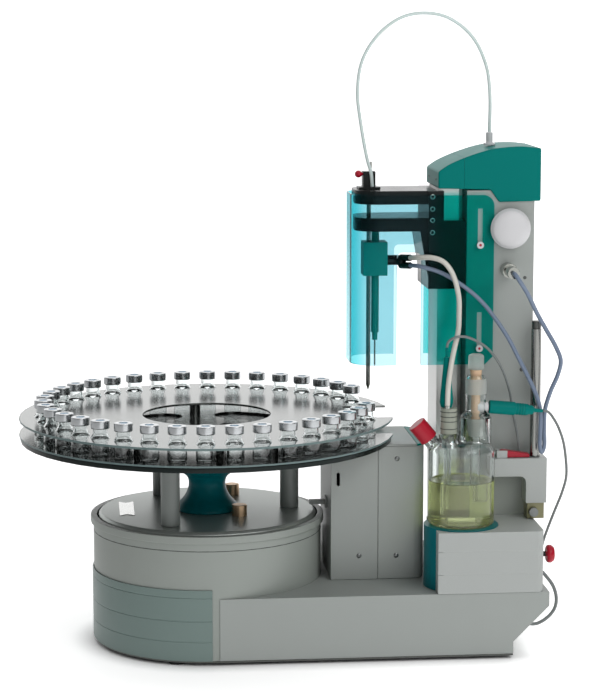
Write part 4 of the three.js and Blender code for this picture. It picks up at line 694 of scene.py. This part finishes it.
def make_vials():
    outer, wall, neck = 11.0, 1.1, 8.2
    foot, shoulder = VIAL_PLATE_TOP + 0.1, 266.4
    lip = CAP_TOP - 7.6
    glass = [
        (0, foot), (outer - 1.4, foot), (outer - 0.4, foot + 0.4), (outer, foot + 1.4), (outer, shoulder),
        (outer - 0.5, shoulder + 1.7), (outer - 1.6, shoulder + 3.2), (neck + 0.3, shoulder + 4.6),
        (neck, lip - 3), (neck, lip - 0.8), (neck + 1.3, lip), (neck + 1.5, lip + 2.6),
        (neck - 1.2, lip + 2.6), (neck - 1.6, lip), (neck - 1.6, shoulder + 5.2),
        (outer - wall - 1.6, shoulder + 2.2), (outer - wall, shoulder - 0.6), (outer - wall, foot + 2.2),
        (outer - wall - 1.2, foot + 1.2), (0, foot + 1.1)]
    cap = [
        (neck + 0.1, lip - 1.3), (neck + 1.9, lip - 1.4), (neck + 2.25, lip - 0.9), (neck + 2.3, lip),
        (neck + 2.3, CAP_TOP - 1.0), (neck + 2.0, CAP_TOP - 0.35), (neck + 1.4, CAP_TOP - 0.02),
        (5.4, CAP_TOP - 0.02), (5.1, CAP_TOP - 0.3), (5.1, CAP_TOP - 0.7), (neck + 1.6, CAP_TOP - 0.9),
        (neck + 1.7, lip)]
    septum = [(0, CAP_TOP - 0.45), (5.3, CAP_TOP - 0.55), (5.3, CAP_TOP - 2.2), (0, CAP_TOP - 2.2)]
    for name, bm, material, slot, crease in (
            ("vial_glasses", repeat(glass, SMALL_STEPS), THIN_GLASS, "glass", GLASS_CREASE),
            ("vial_crimp_caps", repeat(cap, SMALL_STEPS, True), CAP_METAL, "steel", CREASE),
            ("vial_septa", repeat(septum, TINY_STEPS), SILICONE, "olive", CREASE)):
        make_piece(name, bm, material, "turntable", recalculate=False, crease=crease)


def carve(bm, cutters):
    """The first shape less the second one, cut exactly."""
    pair = []
    for label, source in (("carved", bm), ("cutter", cutters)):
        mesh = bpy.data.meshes.new(label)
        source.to_mesh(mesh)
        source.free()
        pair.append(add_object(label, mesh))
    cut = pair[0].modifiers.new("cut", "BOOLEAN")
    cut.object, cut.operation, cut.solver = pair[1], "DIFFERENCE", "EXACT"
    bpy.context.view_layer.update()
    result = bmesh.new()
    result.from_mesh(pair[0].evaluated_get(bpy.context.evaluated_depsgraph_get()).data)
    for piece in pair:
        bpy.data.meshes.remove(piece.data)
    return result


def arc(x, y, radius, start, stop, steps=8):
    """Points along an arc, with both its ends."""
    turns = [start + (stop - start) * step / steps for step in range(steps + 1)]
    return [(x + radius * cos(turn), y + radius * sin(turn)) for turn in turns]


def slot_cutters():
    """Four curved slots between the spokes of the carrier plate."""
    inset = (SPOKE_HALF + SLOT_HALF) / SLOT_CIRCLE
    bm = bmesh.new()
    for quarter in range(4):
        start = SPOKE_TURN + quarter * pi / 2 + inset
        stop = SPOKE_TURN + (quarter + 1) * pi / 2 - inset
        far_end = arc(SLOT_CIRCLE * cos(stop), SLOT_CIRCLE * sin(stop), SLOT_HALF, stop, stop + pi)
        near_end = arc(SLOT_CIRCLE * cos(start), SLOT_CIRCLE * sin(start), SLOT_HALF, start + pi,
                       start + 2 * pi)
        outline = (arc(0, 0, SLOT_CIRCLE + SLOT_HALF, start, stop) + far_end[1:-1]
                   + arc(0, 0, SLOT_CIRCLE - SLOT_HALF, stop, start) + near_end[1:-1])
        add_slab(bm, outline, VIAL_PLATE_TOP - 4, VIAL_PLATE_TOP + 4)
    return bm


def make_vial_plate():
    """The carrier plate without the vials that its CAD solid holds."""
    bm = cad_copy("rack_vial_plate")
    rim = cut_off(bm, (0, 0, VIAL_PLATE_TOP - 0.02), (0, 0, 1))
    bmesh.ops.triangle_fill(bm, use_beauty=True, use_dissolve=True, edges=rim, normal=(0, 0, 1))
    bm = carve(bm, slot_cutters())
    paint(bm, 0, lambda x, y, z: True)
    # The rim gets the painted shade of the edge finish.
    paint(bm, 1, lambda x, y, z: hypot(x, y) > PLATE_RADIUS - 0.6)
    make_piece("vial_carrier_plate", bm, [RACK_METAL, PLATE_EDGE_SHADE], "turntable", ["rack_vial_plate"],
               even=False)


def make_hub():
    """The waisted hub, spun finer than its CAD solid."""
    low, high = span("rack_hub")
    rise = high.z - low.z
    turned("waisted_hub", [
        (0, 0), (36.2, 0), (37, 0.8), (37, 2.6), (36, 4.6), (33.4, 8), (29.8, 11.6), (26.6, 15.6),
        (24.4, 19.6), (22.8, 23.6), (21.8, 27.6), (21.5, 31), (21.7, 34), (22.4, 37), (24.0, 39.8),
        (26.6, 42.2), (30, 44.4), (33.4, 46.4), (36.2, 48.8), (37.8, 51.6), (38.4, 54), (38.3, 56.4),
        (37.4, 58.8), (35.4, 60.6), (31, 61.8), (24, 62.2), (24, rise), (0, rise)],
        LARGE_STEPS, standing(0, 0, low.z), HUB_TEAL, nodes=["rack_hub"], body="turntable")


def make_label_plate():
    """The bare notched plate that lies on the turntable disc."""
    x, y, half_wide, half_long, notch, thick = -94.5, 7.0, 8.6, 38.0, 7.0, 0.5
    corners = []
    for u, v in ((-1, -1), (0, -1), (1, -1), (1, 1), (0, 1), (-1, 1)):
        reach = half_long if u else half_long - notch
        corners.append((x + u * half_wide, y + v * reach, DISC_TOP + 0.05))
    bm = bmesh.new()
    add_prism(bm, corners, (0, 0, thick))
    soften(bm, 0.15, 1)
    make_piece("bare_label_plate", bm, LABEL, "turntable")


def dress_turntable():
    dress("turntable_disc", [DISC_METAL, BRASS], 0.9, 3,
          where=lambda x, y, z: hypot(x, y) > DISC_RIM or z > PINS_FOOT,
          inlay=[lambda x, y, z: z > DISC_TOP + 0.2])
    for number in (1, 2, 3):
        dress(f"post_{number}", POST_PAINT, 0.5)
    dress("rack_bottom_disc", UNDER_METAL, 0.9,
          where=lambda x, y, z: hypot(x, y) > UNDER_DISC_RIM)
    # The top plate's rim gets the painted shade of the edge finish too.
    dress("rack_top_plate", [RACK_METAL, PLATE_EDGE_SHADE], 0.5,
          where=lambda x, y, z: hypot(x, y) > TOP_PLATE_RIM or hypot(x, y) < TOP_PLATE_HOLE,
          inlay=[lambda x, y, z: hypot(x, y) > PLATE_RADIUS - 1.0])


dress_turntable()
make_hub()
make_vial_plate()
make_vials()
make_label_plate()

# Oven

OVEN_HALF, OVEN_RIGHT, OVEN_FOOT = 50, 240, 79
OVEN_SCREWS = ((217, 220), (216.5, 105.5), (173, 106))
GAP_FITTING_PLACE = (133.4, 42.0)


def dress_oven():
    for node in ("oven_left_cover", "oven_right_cover"):
        dress(node, GREY_PAINT, 0.9, 3,
              where=lambda x, y, z: abs(y) > OVEN_HALF or x > OVEN_RIGHT or z < OVEN_FOOT)
    dress("oven_lid", GREY_PAINT, 0.5)
    dress("oven_side_strip", TEAL, 0.5)
    dress("oven_heater_block", DARK_STEEL, 0.5)
    front = span("oven_left_cover")[0].y
    make_screws("oven_cover_screws", [(x, front, z, 3.0) for x, z in OVEN_SCREWS], (0, -1, 0), 1.2,
                SCREW_METAL)


def make_gap_fitting():
    """The dark upright fitting that shows in the gap between the drum and the oven."""
    radius, foot, top = 4.4, 77.6, 121.0
    place = standing(*GAP_FITTING_PLACE)
    turned("gap_fitting", [
        (0, foot), (radius, foot), (radius, foot + 11), (radius - 1.2, foot + 12),
        (radius - 1.2, foot + 14), (radius, foot + 15), (radius, top - 0.8), (radius - 0.8, top), (0, top)],
        MIDDLE_STEPS, place, BLACK)
    turned("gap_fitting_ring", [
        (radius - 1.4, foot + 11.8), (radius - 0.2, foot + 12.2), (radius - 0.2, foot + 13.8),
        (radius - 1.4, foot + 14.2)], MIDDLE_STEPS, place, CHROME, True)


dress_oven()
make_gap_fitting()

# Tower, hood and lift

HOOD_FOOT_SHARES = [(0, 0.252), (0.507, 0.227), (0.594, 0), (1, 0.016)]
HOOD_ARCH_SHARES = [(1, 0.967), (0.809, 1), (0.574, 0.972), (0.452, 0.925), (0.247, 0.799), (0.096, 0.674),
                    (0, 0.556)]
HOOD_SEAM_X, HOOD_SEAM_HALF = 294.5, 0.12
SLIDE_PIN_INSET = 15.0
SHIELD_LOW, SHIELD_HIGH = span("shield")
SLIDE_PIN_HEIGHTS = (SHIELD_HIGH.z - 57.6, SHIELD_LOW.z + 18.8)
COLUMN_HALF = 43.0
COLUMN_SCREWS = ((366.9, 427.6, 2.0), (364.5, 320, 2.4))
CARRIAGE_SCREW_X, CARRIAGE_SCREW_HEIGHTS = 258.5, (522, 508, 495, 481)
HOOD_SCREW_HALF, HOOD_SCREW_SHARE = 27, 0.4
HOLDER_METAL_FOOT, OUTLET_METAL_TOP = 549.3, 351


def make_hood():
    """The tower's hood in two mouldings, its arched top drawn as one even curve."""
    low, high = span("tower_hood")
    long, rise = high.x - low.x, high.z - low.z

    def on_hood(shares):
        return [(low.x + along * long, low.y, low.z + up * rise) for along, up in shares]

    side = on_hood(HOOD_FOOT_SHARES) + [tuple(p) for p in smooth_route(on_hood(HOOD_ARCH_SHARES), 5)]
    for name, way in (("front", 1), ("rear", -1)):
        bm = bmesh.new()
        add_prism(bm, side, (0, high.y - low.y, 0))
        soften(bm, 2.0, 3, 24)
        rim = cut_off(bm, (HOOD_SEAM_X - way * HOOD_SEAM_HALF, 0, 0), (way, 0, 0))
        bmesh.ops.holes_fill(bm, edges=rim)
        make_piece(f"hood_{name}_moulding", bm, TEAL, nodes=["tower_hood"], crease=30)
    make_screws("hood_front_screws", [(low.x, y, low.z + HOOD_SCREW_SHARE * rise, 2.0)
                                      for y in (-HOOD_SCREW_HALF, HOOD_SCREW_HALF)],
                (-1, 0, 0), 0.5, DARK_STEEL)


def make_pin_heads():
    """Pale rings with a red centre on the heads of the pins that the shield slides on."""
    low, high = span("tower_column")
    places = [facing(low.x + SLIDE_PIN_INSET, y, z, (0, way, 0))
              for z in SLIDE_PIN_HEIGHTS for y, way in ((low.y, -1), (high.y, 1))]
    turned("slide_pin_rings", [(1.5, -0.2), (4.1, -0.2), (4.1, 0.15), (3.8, 0.5), (1.9, 0.6), (1.5, 0.2)],
           MIDDLE_STEPS, places, WHITE, True)
    turned("slide_pin_centres", [(0, 0.25), (1.55, 0.25), (1.55, -0.1), (0, -0.1)],
           SMALL_STEPS, places, RED)


def dress_tower():
    dress("tower_rail", RAIL_METAL, 0.6)
    dress("tower_column", GREY_PAINT, 1.6, 3)
    make_hood()
    make_screws("column_panel_screws", [(x, -COLUMN_HALF, z, radius) for x, z, radius in COLUMN_SCREWS],
                (0, -1, 0), 0.6, DARK_STEEL)
    make_pin_heads()
    dress("tube_nut", WHITE, 0.4)
    dress("heater_socket", CHROME, 0.3)


def make_dome():
    """The white ribbed dome cap on the column's side, spun about its own axis."""
    low, high = span("filter_dome")
    radius, depth = (high.x - low.x) / 2, high.y - low.y
    neck, rim = 17.0, 5.2
    shoulder, top = radius - 1.4, rim + 5.2
    outline = [(0, 0), (neck, 0), (neck, rim), (radius - 1.6, rim + 0.1), (radius - 0.4, rim + 0.7),
               (radius, rim + 1.8), (radius, rim + 3.6), (radius - 0.9, rim + 4.4), (shoulder, top)]
    for step in range(1, 10):
        turn = pi / 2 * step / 9
        outline.append((shoulder * cos(turn), top + (depth - top) * sin(turn)))
    place = facing((low.x + high.x) / 2, high.y, (low.z + high.z) / 2, (0, -1, 0))
    turned("white_dome_cap", outline, LARGE_STEPS, place, WHITE, nodes=["filter_dome"])


dress_tower()
make_dome()
dress("lift_carriage", BLACK, 0.6)
dress("needle_holder", [BLACK, CHROME], 0.4, inlay=[lambda x, y, z: z > HOLDER_METAL_FOOT])
dress("needle_lock_knob", RED, 0)
dress("needle_tube", STEEL, 0)
dress("outlet_tube", [HEATER_TEAL, STEEL], 0.2, 1, inlay=[lambda x, y, z: z < OUTLET_METAL_TOP])
dress("tube_heater", HEATER_TEAL, 0.8)
dress("outlet_connector", [BLACK, WHITE], 0.3, 1)
front = span("lift_carriage")[0].y - 0.02
places = [facing(CARRIAGE_SCREW_X, front, z, (0, -1, 0)) for z in CARRIAGE_SCREW_HEIGHTS]
turned("carriage_ring_screws",
       [(1.5, 0.05), (1.7, 0.55), (2.9, 0.55), (3.1, 0.1), (3.1, -0.2), (1.5, -0.2)],
       SMALL_STEPS, places, CHROME, True, body="lift")
dress("shield", SHIELD_TINT, 0.35, 1, crease=40)

# Titration cell

CELL_X, CELL_Y = 287.0, -90.5
LIQUID_TOP = 200.0
VESSEL_WALL, VESSEL_INSIDE = 2.5, 35.5
PLATE_SEAMS, PLATE_GAP, PLATE_RIGHT = (100, 126.5), 0.14, 369.0
PLATE_PROUD, PLATE_THICK, PLATE_RETURN = 0.15, 1.5, 8.4
KNOB_STEM_X = 382.5
ELECTRODE_X, ELECTRODE_Y = 303.5, -86.0
SIDE_SOCKET = (305.0, ELECTRODE_Y, 284.5)
PLUG_PLACE, PLUG_DROP = (318.8, -86, 284.5), radians(5.5)
STOPPER_FOOT, STOPPER_TOP, TUBE_TOP = 256.3, 285.7, 255
CLIP_X, CLIP_Y = 269.6, -99
STOPPER_RING_HEIGHTS = (262.0, 270.5, 276.0, 281.5)
STOPPER_STEPS = 32


def make_front_plates():
    """Three plates one above another that face the stirrer housing, with a return at its left corner."""
    low, high = span("stirrer_housing")
    front, back = low.y - PLATE_PROUD, low.y + PLATE_THICK
    return_x, return_y = low.x + PLATE_RETURN, low.y + PLATE_RETURN
    outline = [(low.x, front), (PLATE_RIGHT, front), (PLATE_RIGHT, back), (return_x, back),
               (return_x, return_y), (low.x, return_y)]
    feet = (low.z + 0.1, *[seam + PLATE_GAP for seam in PLATE_SEAMS])
    tops = (*[seam - PLATE_GAP for seam in PLATE_SEAMS], high.z + 0.04)
    bm = bmesh.new()
    for foot, top in zip(feet, tops):
        add_slab(bm, outline, foot, top)
    soften(bm, 0.3)
    make_piece("stirrer_front_plates", bm, PALE_PAINT)


def make_rod_tip():
    low, high = span("support_rod")
    radius, tip = (high.x - low.x) / 2, 9.0
    turned("support_rod_tip", [
        (0, -0.2), (radius - 1.2, -0.2), (radius - 1.2, 0.6), (radius - 0.6, 1.0),
        (radius - 0.6, tip - 0.8), (radius - 1.2, tip), (0, tip)],
        STOPPER_STEPS, standing((low.x + high.x) / 2, (low.y + high.y) / 2, high.z), DARK_STEEL)


def make_liquid():
    """Reagent in the vessel, with a meniscus drawn up at the wall."""
    radius = VESSEL_INSIDE + 0.06
    foot = span("vessel")[0].z + VESSEL_WALL - 0.05
    turned("cell_reagent", [
        (0, foot), (radius - 2.6, foot), (radius, foot + 2.7), (radius, LIQUID_TOP + 1.6),
        (radius - 0.5, LIQUID_TOP + 0.8), (radius - 1.6, LIQUID_TOP + 0.2), (radius - 3.4, LIQUID_TOP),
        (0, LIQUID_TOP)], LARGE_STEPS, standing(CELL_X, CELL_Y), LIQUID, crease=GLASS_CREASE)


def make_generator_electrode():
    """Glass joint and tube round a tan membrane rod, with a white cap and a side socket."""
    place = standing(ELECTRODE_X, ELECTRODE_Y)
    collar_low, collar_top, tube_top, core_top, cap_top = 272.8, 275.8, 321.5, 328.2, 346.0
    rod_foot, rod_radius = 176.0, 6.0
    turned("generator_glass", [
        (0, rod_foot), (rod_radius - 0.6, rod_foot), (rod_radius, rod_foot + 0.8), (rod_radius, 246),
        (11.5, 247.5), (14.5, collar_low), (16.2, collar_low + 0.2), (16.5, collar_low + 0.7),
        (16.5, collar_top - 0.6), (16.0, collar_top), (12.4, collar_top + 2.6), (12, collar_top + 4),
        (12, tube_top - 14), (11.8, tube_top - 8), (11.0, tube_top - 3), (9.4, tube_top - 0.6),
        (7.2, tube_top), (5.4, tube_top - 0.4), (8.4, tube_top - 3.4), (10.2, tube_top - 9),
        (10.5, collar_top + 5), (10.0, collar_low), (7.2, 249), (4.6, 245), (4.6, rod_foot + 1.6),
        (0, rod_foot + 1.4)],
        ROUND_STEPS, place, GLASS, nodes=["generator_electrode"], crease=GLASS_CREASE)
    turned("generator_membrane", [
        (0, 250), (5.2, 250), (5.2, 306), (7.0, 309), (7.0, 317), (6.2, 318), (6.8, core_top - 1.2),
        (6.8, core_top), (0, core_top)], MIDDLE_STEPS, place, TAN)
    turned("generator_cap", [
        (0, core_top), (8.4, core_top), (8.9, core_top + 0.6), (8.9, cap_top - 3.2), (8.0, cap_top - 1.4),
        (6.0, cap_top - 0.3), (0, cap_top)], ROUND_STEPS, place, FROSTED)
    turned("generator_ground_joint", [(11.75, 248.2), (14.75, 272.2), (14.55, 272.2), (11.55, 248.2)],
           ROUND_STEPS, place, FROSTED, True)
    turned("generator_frosted_sleeve", [
        (12.05, 300.0), (12.3, 300.3), (12.3, 307.5), (12.1, 313.5), (11.5, 317.4), (11.25, 317.6),
        (11.85, 313.4), (12.05, 307.4)], ROUND_STEPS, place, FROSTED, True)
    turned("generator_side_socket", [
        (0, 0), (5.6, 0), (6.0, 0.5), (6.0, 7), (5.4, 8.4), (5.4, 12.6), (0, 12.6)],
        MIDDLE_STEPS, facing(*SIDE_SOCKET, (1, 0, 0)), WHITE)


def make_plug():
    """The teal plug on the electrode's side, with a grip of fine rings and a tapered end."""
    way = (cos(PLUG_DROP), 0, -sin(PLUG_DROP))
    turned("teal_plug", [
        (0, 0), (6.8, 0), (7.6, 0.6), (7.8, 1.6), (7.8, 29.4), (7.4, 30.2), (6.7, 30.6), (6.7, 31.8),
        (7.0, 32.2), (7.0, 34), (6.4, 34.3), (6.4, 35), (7.0, 35.3), (7.0, 37), (6.4, 37.3), (6.4, 38),
        (7.0, 38.3), (7.0, 40), (6.4, 40.3), (6.4, 41), (6.9, 41.3), (6.6, 44.6), (5.4, 47), (5.2, 51),
        (3.4, 52.6), (2.5, 53.4), (2.2, 55), (1.9, 63), (0, 63)],
        STOPPER_STEPS, facing(*PLUG_PLACE, way), TEAL, nodes=["generator_plug"])


def dress_indicator():
    dress("indicator_electrode", [TEAL, STOPPER_GREY, GLASS, CHROME], 0.5, sharper=50,
          inlay=[lambda x, y, z: z < STOPPER_TOP, lambda x, y, z: z < TUBE_TOP,
                 lambda x, y, z: x < CLIP_X and y < CLIP_Y and z > STOPPER_TOP])
    foot = [v.co for v in frame["nodes"]["indicator_electrode"].data.vertices
            if abs(v.co.z / MM - STOPPER_FOOT) < 0.5]
    xs, ys = [(p.x - AXIS_X) / MM for p in foot], [p.y / MM for p in foot]
    place = standing((min(xs) + max(xs)) / 2, (min(ys) + max(ys)) / 2)
    inner, outer = (max(ys) - min(ys)) / 2 - 0.3, (max(ys) - min(ys)) / 2 + 0.3
    # Dark rings of painted shade round the stopper.
    bm = bmesh.new()
    for z in STOPPER_RING_HEIGHTS:
        ring = [(inner, z - 0.5), (outer, z - 0.35), (outer, z + 0.35), (inner, z + 0.5)]
        lathe(bm, ring, STOPPER_STEPS, True, place)
    make_piece("stopper_rings", bm, SHADE_RING_PAINT)


dress("stirrer_housing", PALE_PAINT, 1.2, 3)
make_front_plates()
dress("stirrer_platform", DEEP_TEAL, 0.6)
dress("stirrer_knob", [RED, BLACK], 0.7, inlay=[lambda x, y, z: x < KNOB_STEM_X])
dress("support_rod", STEEL, 0.6)
make_rod_tip()
dress("rod_clamp", OLIVE, 0.5)
dress("thumb_screw", SCREW_METAL, 0.4)
dress("cell_bracket", PALE_PAINT, 0.7)
dress("clamp_lever", RED, 0.5)
dress("vessel", GLASS, 0, crease=GLASS_CREASE)
dress("cell_cap", RED, 0.6)
dress("stir_bar", WHITE, 0)
make_liquid()
make_generator_electrode()
make_plug()
dress_indicator()

# Pieces inside, seen only where something is open

for node, finish in {
        "turntable_shaft": STEEL, "drive_gear": WHITE, "motor_pinion": STEEL, "turntable_motor": DARK_STEEL,
        "turntable_bearing": STEEL, "lead_screw": STEEL, "lift_motor": DARK_STEEL,
        "drive_magnet": DARK_STEEL}.items():
    inner_mesh = frame["nodes"][node].data
    inner_mesh.materials.clear()
    inner_mesh.materials.append(finish)

# Floor and light, whose places are in metres along the frame's axes

FLOOR_GLOW, FAR_GLOW, FLOOR_FROM, FLOOR_TO = 0.52, 0.9, 0.3, 3.0
LEFT_SHARE, LEFT_FROM, LEFT_TO = 0.1, -0.45, -0.10
# Reach, depth and samples of the painted contact shadow in the floor's glow
CONTACT_REACH, CONTACT_DEPTH, CONTACT_SAMPLES = 0.03, 1.8, 8
ROOM_GLOW = 0.03
BACKDROP_GLOW, BACKDROP_FROM, BACKDROP_TO = 1.3, 0.3, 0.8
OVERHEAD_GLOW, OVERHEAD_FROM, OVERHEAD_TO = 0.35, 0.2, 0.6
FLOOR_CORNERS = ((-2, 1), (0, -2), (2, 1))


def make_floor():
    """A white table that glows, with painted light that rises from near to far and a painted contact shadow
    that darkens the glow where something stands close; it lights nothing at its left.
    """
    bm = bmesh.new()
    bm.faces.new([bm.verts.new((x * FLOOR_REACH, y * FLOOR_REACH, 0)) for x, y in FLOOR_CORNERS])
    mesh = bpy.data.meshes.new("floor")
    bm.to_mesh(mesh)
    bm.free()
    f = Finish("studio_floor", (250, 250, 250), 0.7)
    contact_shadow = f.node("AmbientOcclusion", {"Distance": CONTACT_REACH}, samples=CONTACT_SAMPLES)["AO"]
    x, y = f.node("SeparateXYZ", {0: f.place})[:2]
    far_glow = range_node(f.tree, y, FLOOR_FROM, FLOOR_TO, FLOOR_GLOW, FAR_GLOW)
    left = range_node(f.tree, x, LEFT_FROM, LEFT_TO, LEFT_SHARE, kind="LINEAR")
    seen = f.math("MAXIMUM", f.node("LightPath")["Is Camera Ray"], left)
    glow = f.math("MULTIPLY", f.math("POWER", contact_shadow, CONTACT_DEPTH), far_glow)
    f.give(Base_Color=f.tinted(f.colour, f.group(GRAIN, Scale=200.0, Tone=0.01)["Tone"]),
           Emission_Color=(1, 1, 1), Emission_Strength=f.math("MULTIPLY", glow, seen))
    mesh.materials.append(f.material)
    add_object("studio_floor", mesh)


def add_softbox(name, place, aim, wide, high, watts):
    data = bpy.data.lights.new(name, "AREA")
    data.shape = "RECTANGLE"
    data.size, data.size_y, data.energy = wide, high, watts
    lamp = add_object(name, data)
    lamp.location = at(*place)
    lamp.rotation_euler = (at(*aim) - lamp.location).to_track_quat("-Z", "Y").to_euler()


def set_light():
    add_softbox("key_softbox", (1500, -1900, 1900), (100, 0, 250), 1.6, 1.6, 22)
    add_softbox("front_softbox", (500, -2600, 1200), (220, -50, 120), 1.4, 1.2, 8.5)
    add_softbox("top_softbox", (100, 300, 2600), (100, 0, 200), 2.4, 2.0, 16)
    world = bpy.data.worlds.new("studio")
    bpy.context.scene.world = world
    world.use_nodes = True
    tree = world.node_tree
    y, z = add_node(tree, "SeparateXYZ", {0: add_node(tree, "TexCoord")["Generated"]})[1:]
    backdrop = range_node(tree, y, BACKDROP_FROM, BACKDROP_TO, ROOM_GLOW, BACKDROP_GLOW)
    overhead = range_node(tree, z, OVERHEAD_FROM, OVERHEAD_TO, ROOM_GLOW, OVERHEAD_GLOW)
    strength = math_node(tree, "MAXIMUM", backdrop, overhead)
    feed(tree, tree.nodes["Background"], {"Color": (1, 1, 1), "Strength": strength})
    bpy.context.scene.view_settings.view_transform = "Standard"


make_floor()
set_light()

bpy.context.view_layer.update()
